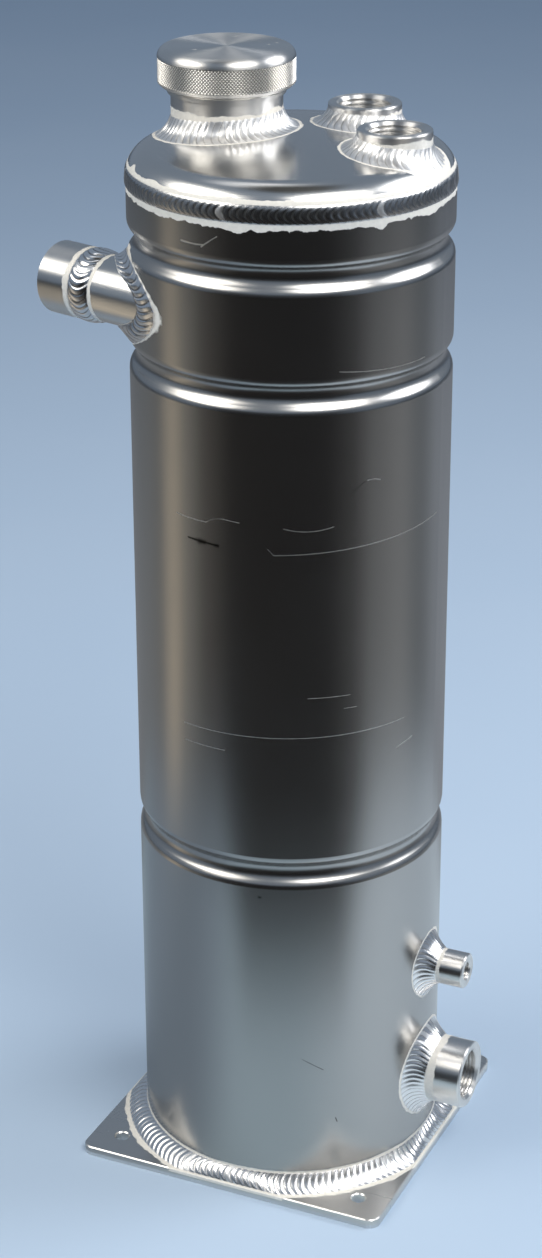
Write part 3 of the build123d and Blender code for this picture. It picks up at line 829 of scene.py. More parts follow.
def knurl_tree():
    """Covers a band of the cap with staggered rows of small diamonds."""
    inputs = [
        ("Cap", "Geometry"),
        ("Axis", "Vector"),
        ("Radius", "Float", 30 * MM),
        ("Depth", "Float", 0.5 * MM),
        ("Band", "Float", 10 * MM),
        ("Count", "Int", 100),
        ("Rows", "Int", 10),
        ("Material", "Material"),
    ]
    wires, given, out = new_tree("diamond_knurl", "GeometryNodeTree", inputs, [("Cap", "Geometry")])
    index = wires.add("GeometryNodeInputIndex").outputs[0]
    row = wires.calc("FLOOR", wires.calc("DIVIDE", index, given["Count"]))
    stagger = wires.product(wires.calc("MODULO", row, 2.0), 0.5)
    angle = wires.calc("DIVIDE", wires.calc("ADD", index, stagger), given["Count"])
    angle = wires.product(angle, math.tau)
    half_height = wires.calc("DIVIDE", given["Band"], wires.calc("ADD", given["Rows"], 1.0))
    half_width = wires.calc("DIVIDE", wires.product(given["Radius"], math.pi), given["Count"])
    root = wires.calc("SUBTRACT", given["Radius"], given["Depth"])
    x = wires.product(wires.calc("COSINE", angle), root)
    y = wires.product(wires.calc("SINE", angle), root)
    z = wires.product(wires.calc("ADD", row, 1.0), half_height)
    spots = {
        "Count": wires.product(given["Count"], given["Rows"]),
        "Position": wires.vector("ADD", wires.join(X=x, Y=y, Z=z), given["Axis"]),
    }
    points = wires.add("GeometryNodePoints", None, spots).outputs[0]
    pyramid = {"Vertices": 4, "Radius Top": 0.0, "Radius Bottom": 1.0, "Depth": 1.0}
    diamond = wires.add("GeometryNodeMeshCone", {"fill_type": "NONE"}, pyramid).outputs["Mesh"]
    laid = {"Geometry": diamond, "Rotation": (0.0, math.pi / 2, 0.0)}
    diamond = wires.add("GeometryNodeTransform", None, laid).outputs[0]
    parts = wires.split(wires.add("GeometryNodeInputPosition").outputs[0])
    diamond = wires.store(diamond, "frost", 1.0)
    diamond = wires.store(diamond, "lathe", wires.join(X=parts["Y"], Y=parts["Z"]), "FLOAT2", "CORNER")
    # pit is 1 at a diamond's foot and 0 at its tip; the turned finish paints shade at the feet
    diamond = wires.store(diamond, "pit", wires.invert(parts["X"]))
    copies = {
        "Points": points,
        "Instance": diamond,
        "Rotation": wires.join(Z=angle),
        "Scale": wires.join(X=given["Depth"], Y=half_width, Z=half_height),
    }
    placed = wires.add("GeometryNodeInstanceOnPoints", None, copies).outputs[0]
    joined = wires.add("GeometryNodeJoinGeometry")
    wires.put(placed, joined.inputs[0])
    wires.put(given["Cap"], joined.inputs[0])
    end_tree(wires, joined.outputs[0], given["Material"], out)
    return wires.tree


def end_tree(wires, geometry, material, out):
    real = wires.add("GeometryNodeRealizeInstances", None, {"Geometry": geometry}).outputs[0]
    dressed = wires.add("GeometryNodeSetMaterial", None, {"Geometry": real, "Material": material}).outputs[0]
    wires.put(dressed, out.inputs[0])


def run_tree(piece, tree, values):
    """Put a piece through a Geometry Nodes tree and keep the result as its plain mesh."""
    modifier = piece.modifiers.new(tree.name, "NODES")
    modifier.node_group = tree
    for item in tree.interface.items_tree:
        if item.item_type == "SOCKET" and item.in_out == "INPUT" and item.name in values:
            modifier[item.identifier] = values[item.name]
    graph = bpy.context.evaluated_depsgraph_get()
    result = piece.evaluated_get(graph)
    made = bpy.data.meshes.new_from_object(result, preserve_all_data_layers=True, depsgraph=graph)
    piece.modifiers.clear()
    old = piece.data
    piece.data = made
    bpy.data.meshes.remove(old)
    made.name = piece.name


# Mesh building

# Steps along a thread's pitch, rows along a ripple, columns across a bead, and creases in degrees
THREAD_STEPS = 8
WELD_ROWS = 12
WELD_COLUMNS = 14
TURNED_CREASE = 32
WELD_CREASE = 50
# Share of a turned piece's radius beyond which a wall is its outside
OUTSIDE = 0.9


def add_mesh(name, points, faces, values, corners=None):
    """A mesh object from points and faces, with named values on its points and an optional lathe map."""
    mesh = bpy.data.meshes.new(name)
    mesh.from_pydata(points, [], faces)
    for label, data in values.items():
        vector = isinstance(data[0], Vector)
        attribute = mesh.attributes.new(label, "FLOAT_VECTOR" if vector else "FLOAT", "POINT")
        flat = [part for item in data for part in item] if vector else data
        attribute.data.foreach_set("vector" if vector else "value", flat)
    if corners:
        layer = mesh.uv_layers.new(name="lathe")
        layer.data.foreach_set("uv", [part for corner in corners for part in corner])
    piece = bpy.data.objects.new(name, mesh)
    bpy.context.scene.collection.objects.link(piece)
    return piece


def note(values, **row):
    """Add one point's values under their labels."""
    for label, value in row.items():
        values.setdefault(label, []).append(value)


def finish_piece(piece, body, nodes, crease):
    """Smooth shading with creased corners, then its body, and the solids that it stands for are hidden."""
    piece.data.shade_smooth()
    piece.data.set_sharp_from_angle(angle=math.radians(crease))
    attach(piece, body)
    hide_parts(*nodes)


def lathe(name, origin, axis, outline, steps, frost_from, closed=True):
    """A turned piece; outline points are radius, height and share of thread, in order round the section."""
    side = ALONG_X if abs(axis.z) > 0.9 else UP.cross(axis).normalized()
    front = axis.cross(side)
    points, rings, lengths, values = [], [], [], {}
    length = 0.0
    outer = OUTSIDE * max(radius for radius, _, _ in outline)
    for number, (radius, height, thread) in enumerate(outline):
        if number:
            length += math.hypot(radius - outline[number - 1][0], height - outline[number - 1][1])
        lengths.append(length)
        count = steps if radius > 0 else 1
        rings.append(range(len(points), len(points) + count))
        for place in range(count):
            turn = place / steps
            out = side * math.cos(math.tau * turn) + front * math.sin(math.tau * turn)
            points.append(origin + out * radius + axis * height)
            frost = frost_from(points[-1]) if radius > outer else 1.0
            note(values, turn=turn, height=height, thread=thread, along=length, frost=frost, radial=out)
    lengths.append(length + math.hypot(outline[0][0] - outline[-1][0], outline[0][1] - outline[-1][1]))
    faces, corners = [], []
    count = len(outline)
    for number in range(count if closed else count - 1):
        first, second = rings[number], rings[(number + 1) % count]
        low, high = lengths[number], lengths[number + 1]
        for place in range(steps):
            after = (place + 1) % steps
            start, end = place / steps, (place + 1) / steps
            loop = [(first[place % len(first)], (start, low))]
            if len(first) > 1:
                loop.append((first[after], (end, low)))
            loop.append((second[after % len(second)], (end, high)))
            if len(second) > 1:
                loop.append((second[place], (start, high)))
            faces.append([index for index, _ in loop])
            corners.extend(corner for _, corner in loop)
    piece = add_mesh(name, points, faces, values, corners)
    outward(piece)
    return piece


def threaded_run(radius, start, end, pitch):
    """Outline points down a threaded wall, with the thread fading over one pitch at its ends."""
    count = max(2, round(abs(end - start) / (pitch / THREAD_STEPS)))
    run = []
    for number in range(count + 1):
        height = start + (end - start) * number / count
        edge = min(abs(height - start), abs(end - height))
        run.append((radius, height, min(1.0, edge / pitch)))
    return run


class Weld(NamedTuple):
    """A bead: its section at each turn, the radius that its ripples are counted on, and its look."""

    section: Callable
    radius: float
    metal: str
    # The crater's turn, then the ripples' height, the face's fullness and the ripples' bow
    crater: float
    height: float
    full: int = 2
    bow: float = 1.0


def bead(node, weld, settings, tree, material, seed):
    """A rippled ring of weld metal; a section is fitting toe, face middle, host toe and root."""
    ripples = round(math.tau * weld.radius / settings.ripple_pitch)
    rows = ripples * WELD_ROWS
    points, values = [], {}
    for number in range(rows):
        turn = number / rows
        piece_toe, middle, host_toe, root = weld.section(turn)
        rise = middle - (piece_toe + host_toe) / 2
        run = (host_toe - piece_toe).normalized()
        for column in range(WELD_COLUMNS + 1):
            share = column / WELD_COLUMNS
            across = 2 * share - 1
            points.append(piece_toe.lerp(host_toe, share) + rise * (1 - abs(across) ** weld.full))
            note(values, turn=turn, across=across, face=1.0, spread=run * across**3)
        points.append(root)
        note(values, turn=turn, across=1.0, face=0.0, spread=Vector())
    ring = WELD_COLUMNS + 2
    faces = []
    for number in range(rows):
        here, there = number * ring, (number + 1) % rows * ring
        for column in range(ring):
            after = (column + 1) % ring
            faces.append([here + column, here + after, there + after, there + column])
    piece = add_mesh(node + "_bead", points, faces, values)
    outward(piece)
    inputs = {
        "Ripples": ripples,
        "Height": settings.ripple_height * weld.height,
        "Bow": settings.bow * weld.bow,
        "Wander": settings.wander,
        "Scallop": settings.scallop * weld.height,
        "Crater Turn": weld.crater,
        "Seed": seed,
        "Material": material,
    }
    run_tree(piece, tree, inputs)
    finish_piece(piece, "tank", [node], WELD_CREASE)


def outward(piece):
    """Turn a closed mesh's faces outwards."""
    volume = 0.0
    points = [vertex.co for vertex in piece.data.vertices]
    for face in piece.data.polygons:
        corners = [points[index] for index in face.vertices]
        for second, third in zip(corners[1:], corners[2:]):
            volume += corners[0].dot(second.cross(third))
    if volume < 0:
        piece.data.flip_normals()


# Where the welds lie

# Fillets that are even all round: leg up the fitting, leg along its host, hollow as a share of the depth
NECK_FILLET = (9.0 * MM, 8.0 * MM, 0.4)
BREATHER_FILLET = (7.0 * MM, 7.6 * MM, 0.36)
OUTLET_FILLET = (8.0 * MM, 8.2 * MM, 0.2)
SENSOR_FILLET = (8.0 * MM, 8.6 * MM, 0.2)
# A fillet's step outwards to find its direction, the tries to fit its leg, and the way that a crown swells
FILLET_PROBE = 1.0 * MM
FILLET_TRIES = 5
CROWN_OUT = 0.9
CROWN_UP = 0.45

# The saddle round the inlet stub, widest on the side where the stub runs past the shell
SADDLE_LEG = 5.0 * MM
SADDLE_SPREAD = 11.0 * MM
SADDLE_CROWN = 2.0 * MM
SADDLE_HOLLOW = 0.25
SADDLE_LIMIT = 0.98
STUB_LEG_LEAST = 1.2 * MM
STUB_LEG_MOST = 8.0 * MM
STUB_LEG_GROWTH = 18.0 * MM

# The seam bead, the fillet at the foot and the bead on the inlet boss
SEAM_HALF = 4.5 * MM
SEAM_CROWN = 0.3 * MM
BASE_UP = 6.5 * MM
BASE_OUT = 9.8 * MM
BASE_BULGE = 0.6 * MM
BASE_FACE_OUT = 0.55
BASE_FACE_UP = 0.83
PLATE_EDGE_GAP = 0.9 * MM
INLET_BEAD_CROWN = 0.7 * MM
# The first weld's seed, and how much wider than its weld a side boss's ring of ripples is counted
FIRST_SEED = 3
SIDE_RING = 1.3


def on_dome(centre, radius, angle):
    """Point on the dome's skin round a vertical fitting."""
    x = centre.x + radius * math.cos(angle)
    y = centre.y + radius * math.sin(angle)
    ring = math.hypot(x, y)
    if ring < crown_edge:
        z = crown_z + math.sqrt(CROWN_RADIUS**2 - ring**2)
    else:
        z = seam_z + math.sqrt(max(DOME_KNUCKLE**2 - (ring - knuckle_r) ** 2, 0.0))
    return Vector((x, y, z))


def on_front(height, radius, angle):
    """Point on the shell round a fitting that points along +X."""
    y = radius * math.cos(angle)
    return Vector((math.sqrt(tank_r**2 - y**2), y, height + radius * math.sin(angle)))


def on_inlet(radius, angle):
    """Point on the shell round the inlet stub."""
    side = min(INLET_OFFSET + radius * math.cos(angle), SADDLE_LIMIT * tank_r)
    depth = math.sqrt(tank_r**2 - side**2)
    return inlet_side * side + inlet_axis * depth + UP * (inlet_z + radius * math.sin(angle))


def fillet_section(host, radius, axis, up_leg, out_leg, hollow, crown=None):
    """Section of a fillet round a fitting at each turn, whose legs and crown may change with the angle."""

    def section(turn):
        angle = math.tau * turn
        root = host(radius, angle)
        outer = host(radius + FILLET_PROBE, angle) - root
        outer = (outer - axis * outer.dot(axis)).normalized()
        reach = out_leg(angle)
        grow = reach
        for _ in range(FILLET_TRIES):
            grow *= reach / (host(radius + grow, angle) - root).length
        piece_toe = root + axis * up_leg(angle)
        host_toe = host(radius + grow, angle)
        centre = (piece_toe + host_toe) / 2
        middle = centre + (root - centre) * hollow
        if crown:
            middle += (outer * CROWN_OUT + axis * CROWN_UP) * crown(angle)
        return piece_toe - outer * SINK, middle, host_toe - axis * SINK, root - (axis + outer) * SINK * 2

    return section


def even_fillet(host, radius, axis, fillet):
    """Section of a fillet whose legs are the same all round."""
    up_leg, out_leg, hollow = fillet
    return fillet_section(host, radius, axis, lambda angle: up_leg, lambda angle: out_leg, hollow)


def slant(angle):
    """Share by which the shell falls away from the stub: all of it at angle 0, none on the far half."""
    return max(0.0, math.cos(angle)) ** 2


def saddle_leg(angle):
    return SADDLE_LEG + SADDLE_SPREAD * slant(angle)


def saddle_crown(angle):
    return SADDLE_CROWN * slant(angle)


def stub_leg(angle):
    """Leg up the stub, which ends short of the bead on the boss."""
    root = inlet_axis.dot(on_inlet(STUB_R, angle) - inlet_foot)
    room = inlet_back - INLET_BEAD - root
    wanted = STUB_LEG_LEAST + STUB_LEG_GROWTH * (1 - math.cos(angle))
    return max(STUB_LEG_LEAST, min(wanted, STUB_LEG_MOST, room))


def outward_of_tank(turn):
    return Vector((math.cos(math.tau * turn), math.sin(math.tau * turn), 0))


def seam_section(turn):
    """Section of the bead along the dome's seam."""
    out = outward_of_tank(turn)
    dome_r = knuckle_r + math.sqrt(DOME_KNUCKLE**2 - SEAM_HALF**2)
    high = out * (dome_r - SINK) + UP * (seam_z + SEAM_HALF)
    low = out * (tank_r - SINK) + UP * (seam_z - SEAM_HALF)
    middle = out * (tank_r + SEAM_CROWN) + UP * seam_z
    return high, middle, low, out * (tank_r - SEAM_BEVEL) + UP * seam_z


def base_section(turn):
    """Section of the fillet round the tube's foot, running out at the plate's edges."""
    out = outward_of_tank(turn)
    limit = (plate_half - PLATE_EDGE_GAP) / max(abs(out.x), abs(out.y))
    toe_r = min(tank_r + BASE_OUT, limit)
    high = out * (tank_r - SINK) + UP * (plate_top + BASE_UP)
    low = out * toe_r + UP * (plate_top - SINK)
    middle = (high + low) / 2 + (out * BASE_FACE_OUT + UP * BASE_FACE_UP) * BASE_BULGE
    return high, middle, low, out * (tank_r - SINK) + UP * (plate_top - SINK)


def inlet_bead_section(turn):
    """Section of the bead from the inlet boss down to its stub."""
    out = inlet_side * math.cos(math.tau * turn) + UP * math.sin(math.tau * turn)
    start = inlet_foot + inlet_axis * inlet_back
    high = start + out * (boss_r - SINK)
    low = start - inlet_axis * INLET_BEAD + out * (STUB_R - SINK)
    middle = start - inlet_axis * INLET_BEAD / 2 + out * ((boss_r + STUB_R) / 2 + INLET_BEAD_CROWN)
    return high, middle, low, start + out * (STUB_R - SINK)


def tank_welds():
    """The nine welds by node, in the order of their seeds."""
    neck = even_fillet(partial(on_dome, neck_centre), NECK_R, UP, NECK_FILLET)
    front = even_fillet(partial(on_dome, front_breather), boss_r, UP, BREATHER_FILLET)
    rear = even_fillet(partial(on_dome, rear_breather), boss_r, UP, BREATHER_FILLET)
    outlet = even_fillet(partial(on_front, outlet_z), boss_r, ALONG_X, OUTLET_FILLET)
    sensor = even_fillet(partial(on_front, sensor_z), sensor_r, ALONG_X, SENSOR_FILLET)
    saddle = fillet_section(on_inlet, STUB_R, inlet_axis, stub_leg, saddle_leg, SADDLE_HOLLOW, saddle_crown)
    return {
        "dome_weld": Weld(seam_section, tank_r, "weld_metal_dull", 0.0, 0.5, 5, 1.7),
        "base_weld": Weld(base_section, tank_r + 5 * MM, "weld_metal", 0.0325, 1.0),
        "filler_neck_weld": Weld(neck, NECK_R + 4 * MM, "weld_metal_bright", 0.79, 1.7),
        "front_breather_weld": Weld(front, boss_r + 3 * MM, "weld_metal_bright", 0.3, 1.0),
        "rear_breather_weld": Weld(rear, boss_r + 3 * MM, "weld_metal_bright", 0.3, 1.0),
        "outlet_boss_weld": Weld(outlet, (boss_r + 4 * MM) * SIDE_RING, "weld_metal", 0.3, 0.9),
        "sensor_boss_weld": Weld(sensor, (sensor_r + 4 * MM) * SIDE_RING, "weld_metal", 0.3, 0.8),
        "inlet_stub_weld": Weld(saddle, STUB_R + 6 * MM, "weld_metal_sooty", 0.6, 1.5, 2, 1.5),
        "inlet_boss_weld": Weld(inlet_bead_section, boss_r, "weld_metal_sooty", 0.6, 1.1, 2, 1.4),
    }


# Turned pieces

# Where each weld ends along its fitting's axis, from the tank's origin
WELD_ENDS = {
    "outlet_boss": 84.0 * MM,
    "sensor_boss": 83.0 * MM,
    "front_breather_boss": 528.0 * MM,
    "rear_breather_boss": 528.5 * MM,
    "filler_neck": 533.2 * MM,
}
BOSSES = ("outlet_boss", "inlet_boss", "front_breather_boss", "rear_breather_boss", "sensor_boss")
PORT_THREAD_DEPTH = 1.15 * MM
SENSOR_THREAD_DEPTH = 0.55 * MM
CAP_THREAD_DEPTH = 1.4 * MM
BOSS_STEPS = 96
TURNED_STEPS = 128
CAP_ROUND_STEPS = 8
KNURL_EDGE = 0.1 * MM


def turned_boss(node, radius, chamfer, pitch):
    """A boss along its port's axis; the inlet's also has a socket for the stub."""
    port = ports[node.replace("_boss", "_port")]
    origin, axis = Vector(port["pos_m"]), Vector(port["axis"])
    bore = port["dims"]["r_mm"] * MM
    inner = -port["dims"]["length_mm"] * MM
    socket = node == "inlet_boss"
    start = inner - SOCKET_DEPTH if socket else inner
    outline = [
        (radius, start, 0.0),
        (radius, chamfer - BOSS_RIM, 0.0),
        (radius - BOSS_RIM, chamfer, 0.0),
        (bore + chamfer, chamfer, 0.0),
        *threaded_run(bore, 0.0, inner, pitch),
    ]
    if socket:
        outline += [(STUB_R + BOSS_FIT, inner, 0.0), (STUB_R + BOSS_FIT, start, 0.0)]
    weld_end = origin + axis * start if socket else axis * WELD_ENDS[node]

    def from_weld(point):
        return (point - weld_end).dot(axis)

    return lathe(node + "_turned", origin, axis, outline, BOSS_STEPS, from_weld)


def neck_outline(pitch):
    """The neck's section: a plain wall, a lip and the threaded bore."""
    top, start = neck_high.z, neck_low.z
    lip_r = (neck_high.x - neck_low.x) / 2
    return [
        (NECK_R, start, 0.0),
        (NECK_R, top - NECK_LIP_HEIGHT, 0.0),
        (lip_r, top - NECK_LIP_HEIGHT, 0.0),
        (lip_r, top - NECK_BREAK, 0.0),
        (lip_r - NECK_BREAK, top, 0.0),
        (NECK_BORE_R + NECK_BREAK, top, 0.0),
        *threaded_run(NECK_BORE_R, top - NECK_BREAK, start, pitch),
    ]


def cap_outline(band_low, band_high, knurl_depth, pitch):
    """The cap's section from the middle of its top, round the rim and the spigot, to the hollow's roof."""
    top, spigot_end = cap_high.z, cap_low.z
    root = cap_r - knurl_depth
    groove_low, groove_high = SEAL_R - SEAL_GROOVE / 2, SEAL_R + SEAL_GROOVE / 2
    outline = [(0.0, top, 0.0), (0.5 * cap_r, top, 0.0)]
    for number in range(CAP_ROUND_STEPS + 1):
        angle = math.pi / 2 * (1 - number / CAP_ROUND_STEPS)
        radius = cap_r - CAP_TOP_ROUND + CAP_TOP_ROUND * math.cos(angle)
        outline.append((radius, band_high + CAP_TOP_ROUND * math.sin(angle), 0.0))
    return outline + [
        (root, band_high - KNURL_EDGE, 0.0),
        (root, band_low + KNURL_EDGE, 0.0),
        (cap_r, band_low, 0.0),
        (cap_r - CAP_CHAMFER, cap_bottom, 0.0),
        (groove_high, cap_bottom, 0.0),
        (groove_high, cap_bottom + SEAL_GROOVE_DEPTH, 0.0),
        (groove_low, cap_bottom + SEAL_GROOVE_DEPTH, 0.0),
        (groove_low, cap_bottom, 0.0),
        *threaded_run(SPIGOT_R, cap_bottom, spigot_end + SPIGOT_BREAK, pitch),
        (SPIGOT_R - SPIGOT_BREAK, spigot_end, 0.0),
        (SPIGOT_BORE_R, spigot_end, 0.0),
        (SPIGOT_BORE_R, top - CAP_CROWN, 0.0),
        (0.0, top - CAP_CROWN, 0.0),
    ]


# Stage, in metres

FLOOR_HALF = 9.0
FLOOR_PALE = (0.8, 0.84, 0.88)
CARD_HALF = 6.0
CARD_HEIGHT = 0.002
WALL_RADIUS = 2.8
WALL_HEIGHTS = (0.003, 1.6)
WALL_START = -1.4
WALL_STEP = 0.1
WALL_POSTS = 26
WALL_SHADE = (0.012, 0.011, 0.010)
CEILING_HALF = 0.8
CEILING_HEIGHT = 2.2
CEILING_SHADE = (0.06, 0.055, 0.045)
LAMP_GAIN = 2.8
LAMP_FADE = 0.42
SENSOR_WIDTH = 36

# Lamps: place ahead, aside and up, width and height, the setting that holds the power, and colour
LAMPS = {
    "key_light": ((1.1, 0.75, 1.95), (2.0, 1.2), "key_power", (1.0, 0.97, 0.92)),
    "top_light": ((-0.5, -0.3, 2.5), (1.4, 1.4), "top_power", (1.0, 0.98, 0.95)),
    "left_light": ((0.45, -1.4, 1.55), (2.2, 1.3), "side_power", (1.0, 0.95, 0.86)),
    "right_light": ((-0.3, 1.5, 1.45), (1.5, 1.4), "side_power", (0.99, 0.99, 1.0)),
}


def square(name, half, height):
    """A level square about the tank's axis."""
    points = [(x * half, y * half, height) for x, y in ((-1, -1), (1, -1), (1, 1), (-1, 1))]
    return add_mesh(name, points, [[0, 1, 2, 3]], {})


def dull_finish(name):
    """A finish with no shine, for a card that only the metal mirrors."""
    material, wires, shader = new_finish(name)
    shader.inputs["Roughness"].default_value = 1.0
    shader.inputs["Specular IOR Level"].default_value = 0.0
    return material, wires, shader


def mirrored_only(card, material):
    """Give a card its finish and show it only in the metal."""
    card.data.materials.append(material)
    for way in ("camera", "diffuse", "transmission", "shadow", "volume_scatter"):
        setattr(card, "visible_" + way, False)
    return card


def bearings(wires, place, front, right):
    """How far a place lies towards the camera's side, and to its right."""
    return wires.vector("DOT_PRODUCT", place, front), wires.vector("DOT_PRODUCT", place, right)


def plain_floor(settings):
    """The pale floor that the tank stands on."""
    floor = square("floor", FLOOR_HALF, 0)
    material, wires, shader = new_finish("plain_floor")
    tone = wires.noise(wires.place(), 3.0, 3.0)
    wires.put(wires.drift(tone, 0.12, settings.floor, FLOOR_PALE), shader.inputs["Base Color"])
    shader.inputs["Roughness"].default_value = 0.9
    shader.inputs["Specular IOR Level"].default_value = 0.1
    floor.data.materials.append(material)
    return floor


def floor_card(front, right):
    """A card on the floor, dark in front and grey to the sides, with a pale patch round the tank."""
    material, wires, shader = dull_finish("floor_card")
    place = wires.place()
    ahead, aside = bearings(wires, place, front, right)
    turned = wires.calc("DIVIDE", wires.calc("ARCTAN2", aside, ahead), math.tau)
    tones = wires.add("ShaderNodeValToRGB", None, {"Fac": wires.calc("ADD", turned, 0.5)})
    tones.color_ramp.interpolation = "EASE"
    stops = tones.color_ramp.elements
    for degrees, colour in CARD_TONES[1:-1]:
        stops.new(degrees / 360 + 0.5).color = rgba(colour)
    stops[0].color = rgba(CARD_TONES[0][1])
    stops[len(stops) - 1].color = rgba(CARD_TONES[-1][1])
    reach = wires.from_axis(place)
    lean = wires.calc("DIVIDE", aside, reach)
    near = wires.blend(wires.step(lean, -0.1, 0.95), rgba(CARD_NEAR_FRONT), rgba(CARD_NEAR_RIGHT))
    near = wires.blend(wires.step(lean, -0.5, -0.95), near, rgba(CARD_NEAR_LEFT))
    start = wires.calc("MULTIPLY_ADD", wires.step(lean, 0.5, 0.95), -0.2, reach)
    start = wires.calc("MULTIPLY_ADD", wires.step(lean, -0.45, -0.85), -0.18, start)
    shade = wires.blend(wires.step(start, *CARD_START), near, tones.outputs["Color"])
    wires.put(shade, shader.inputs["Base Color"])
    return mirrored_only(square("floor_card", CARD_HALF, CARD_HEIGHT), material)


def dark_wall(front, right):
    """A dark curved wall behind the camera, with soft edges."""
    material, wires, shader = dull_finish("dark_wall")
    place = wires.place()
    ahead, aside = bearings(wires, place, front, right)
    turned = wires.calc("ARCTAN2", aside, ahead)
    low = wires.step(wires.split(place)["Z"], 1.5, 0.7)
    veil = wires.product(wires.step(turned, -1.25, -0.75), wires.step(turned, 0.9, 0.45), low)
    wires.put(veil, shader.inputs["Alpha"])
    shader.inputs["Base Color"].default_value = rgba(WALL_SHADE)
    points = []
    for number in range(WALL_POSTS):
        turn = WALL_START + WALL_STEP * number
        foot = (front * math.cos(turn) + right * math.sin(turn)) * WALL_RADIUS
        points += [foot + UP * height for height in WALL_HEIGHTS]
    faces = [[post, post + 2, post + 3, post + 1] for post in range(0, 2 * WALL_POSTS - 2, 2)]
    return mirrored_only(add_mesh("dark_wall", points, faces, {}), material)


def dark_ceiling():
    """A dark patch overhead that fades outwards."""
    material, wires, shader = dull_finish("dark_ceiling")
    wires.put(wires.step(wires.from_axis(wires.place()), 0.75, 0.35), shader.inputs["Alpha"])
    shader.inputs["Base Color"].default_value = rgba(CEILING_SHADE)
    return mirrored_only(square("dark_ceiling", CEILING_HALF, CEILING_HEIGHT), material)


def add_lamp(name, place, aim, size, power, colour):
    """An area lamp that fades towards its edges."""
    lamp = bpy.data.lights.new(name, "AREA")
    lamp.shape = "RECTANGLE"
    lamp.size, lamp.size_y = size
    lamp.energy = power
    lamp.color = colour
    lamp.use_nodes = True
    wires = Wires(lamp.node_tree)
    spot = wires.split(wires.add("ShaderNodeNewGeometry").outputs["Parametric"])
    strength = LAMP_GAIN
    for way in ("X", "Y"):
        off_middle = wires.calc("ABSOLUTE", wires.calc("SUBTRACT", spot[way], 0.5))
        edge = wires.calc("SUBTRACT", 0.5, off_middle)
        strength = wires.product(wires.step(edge, 0.0, LAMP_FADE), strength)
    wires.put(strength, lamp.node_tree.nodes["Emission"].inputs["Strength"])
    lamp_object = bpy.data.objects.new(name, lamp)
    lamp_object.location = place
    lamp_object.rotation_euler = (aim - place).to_track_quat("-Z", "Y").to_euler()
    bpy.context.scene.collection.objects.link(lamp_object)


def soft_surround(scene, settings):
    """Even light from all round."""
    world = bpy.data.worlds.new("soft_surround")
    world.use_nodes = True
    background = world.node_tree.nodes["Background"]
    background.inputs["Color"].default_value = rgba(settings.sky)
    background.inputs["Strength"].default_value = settings.sky_strength
    scene.world = world
    scene.view_settings.view_transform = "Standard"


def photo_camera(scene, settings, turn, aim):
    """The camera, tilted down at the tank and panned a little off its axis."""
    tilt, pan = settings.elevation, settings.pan
    ahead = Vector((math.sin(pan), math.cos(tilt) * math.cos(pan), -math.sin(tilt) * math.cos(pan)))
    across = Vector((math.cos(pan), -math.sin(pan) * math.cos(tilt), math.sin(pan) * math.sin(tilt)))
    upright = Vector((0, math.sin(tilt), math.cos(tilt)))
    back = turn @ Vector((0, -math.cos(tilt), math.sin(tilt))) * settings.distance
    pose = Matrix((turn @ across, turn @ upright, turn @ -ahead)).transposed().to_4x4()
    pose.translation = aim + back
    camera = bpy.data.cameras.new("camera")
    camera.lens = settings.lens
    camera.sensor_width = SENSOR_WIDTH
    camera_object = bpy.data.objects.new("camera", camera)
    camera_object.matrix_world = pose
    scene.collection.objects.link(camera_object)
    scene.camera = camera_object


# Operators


class OILTANK_OT_sheet(bpy.types.Operator):
    """Finish the rolled shell, dome, base plate, stub, baffles and seal"""

    bl_idname = "oil_tank.sheet"
    bl_label = "Sheet and Plate"

    def execute(self, context):
        finishes = tank_finishes(context)
        worn = {
            "tank_shell": finishes.rolled,
            "top_dome": finishes.spun,
            "base_plate": finishes.plate,
            "inlet_stub": finishes.tube,
            "upper_baffle": finishes.pressed,
            "swirl_baffle": finishes.pressed,
            "lower_baffle": finishes.pressed,
            "cap_seal": finishes.rubber,
        }
        for node, material in worn.items():
            for slot in frame["nodes"][node].material_slots:
                slot.material = material
        return {"FINISHED"}


class OILTANK_OT_welds(bpy.types.Operator):
    """Lay the nine rippled weld beads"""

    bl_idname = "oil_tank.welds"
    bl_label = "Weld Beads"

    def execute(self, context):
        settings = context.scene.oil_tank.weld
        metals = tank_finishes(context).welds
        tree = ripple_tree()
        for seed, (node, weld) in enumerate(tank_welds().items(), FIRST_SEED):
            bead(node, weld, settings, tree, metals[weld.metal], seed)
        return {"FINISHED"}


class OILTANK_OT_bosses(bpy.types.Operator):
    """Turn the five threaded bosses"""

    bl_idname = "oil_tank.bosses"
    bl_label = "Threaded Bosses"

    def execute(self, context):
        settings = context.scene.oil_tank.turned
        material = tank_finishes(context).turned
        tree = thread_tree()
        large = (boss_r, boss_mouth_chamfer, settings.port_pitch)
        small = (sensor_r, boss_mouth_chamfer / 2, settings.sensor_pitch)
        for node in BOSSES:
            radius, chamfer, pitch = small if node == "sensor_boss" else large
            depth = SENSOR_THREAD_DEPTH if node == "sensor_boss" else PORT_THREAD_DEPTH
            piece = turned_boss(node, radius, chamfer, pitch)
            run_tree(piece, tree, {"Pitch": pitch, "Depth": depth, "Material": material})
            finish_piece(piece, "tank", [node], TURNED_CREASE)
        return {"FINISHED"}


class OILTANK_OT_neck(bpy.types.Operator):
    """Turn the filler neck with its lip and inside thread"""

    bl_idname = "oil_tank.neck"
    bl_label = "Filler Neck"

    def execute(self, context):
        pitch = context.scene.oil_tank.turned.cap_pitch
        weld_end = WELD_ENDS["filler_neck"]
        outline = neck_outline(pitch)
        piece = lathe(
            "filler_neck_turned", neck_centre, UP, outline, TURNED_STEPS, lambda point: point.z - weld_end
        )
        values = {"Pitch": pitch, "Depth": CAP_THREAD_DEPTH, "Material": tank_finishes(context).turned}
        run_tree(piece, thread_tree(), values)
        finish_piece(piece, "tank", ["filler_neck"], TURNED_CREASE)
        return {"FINISHED"}


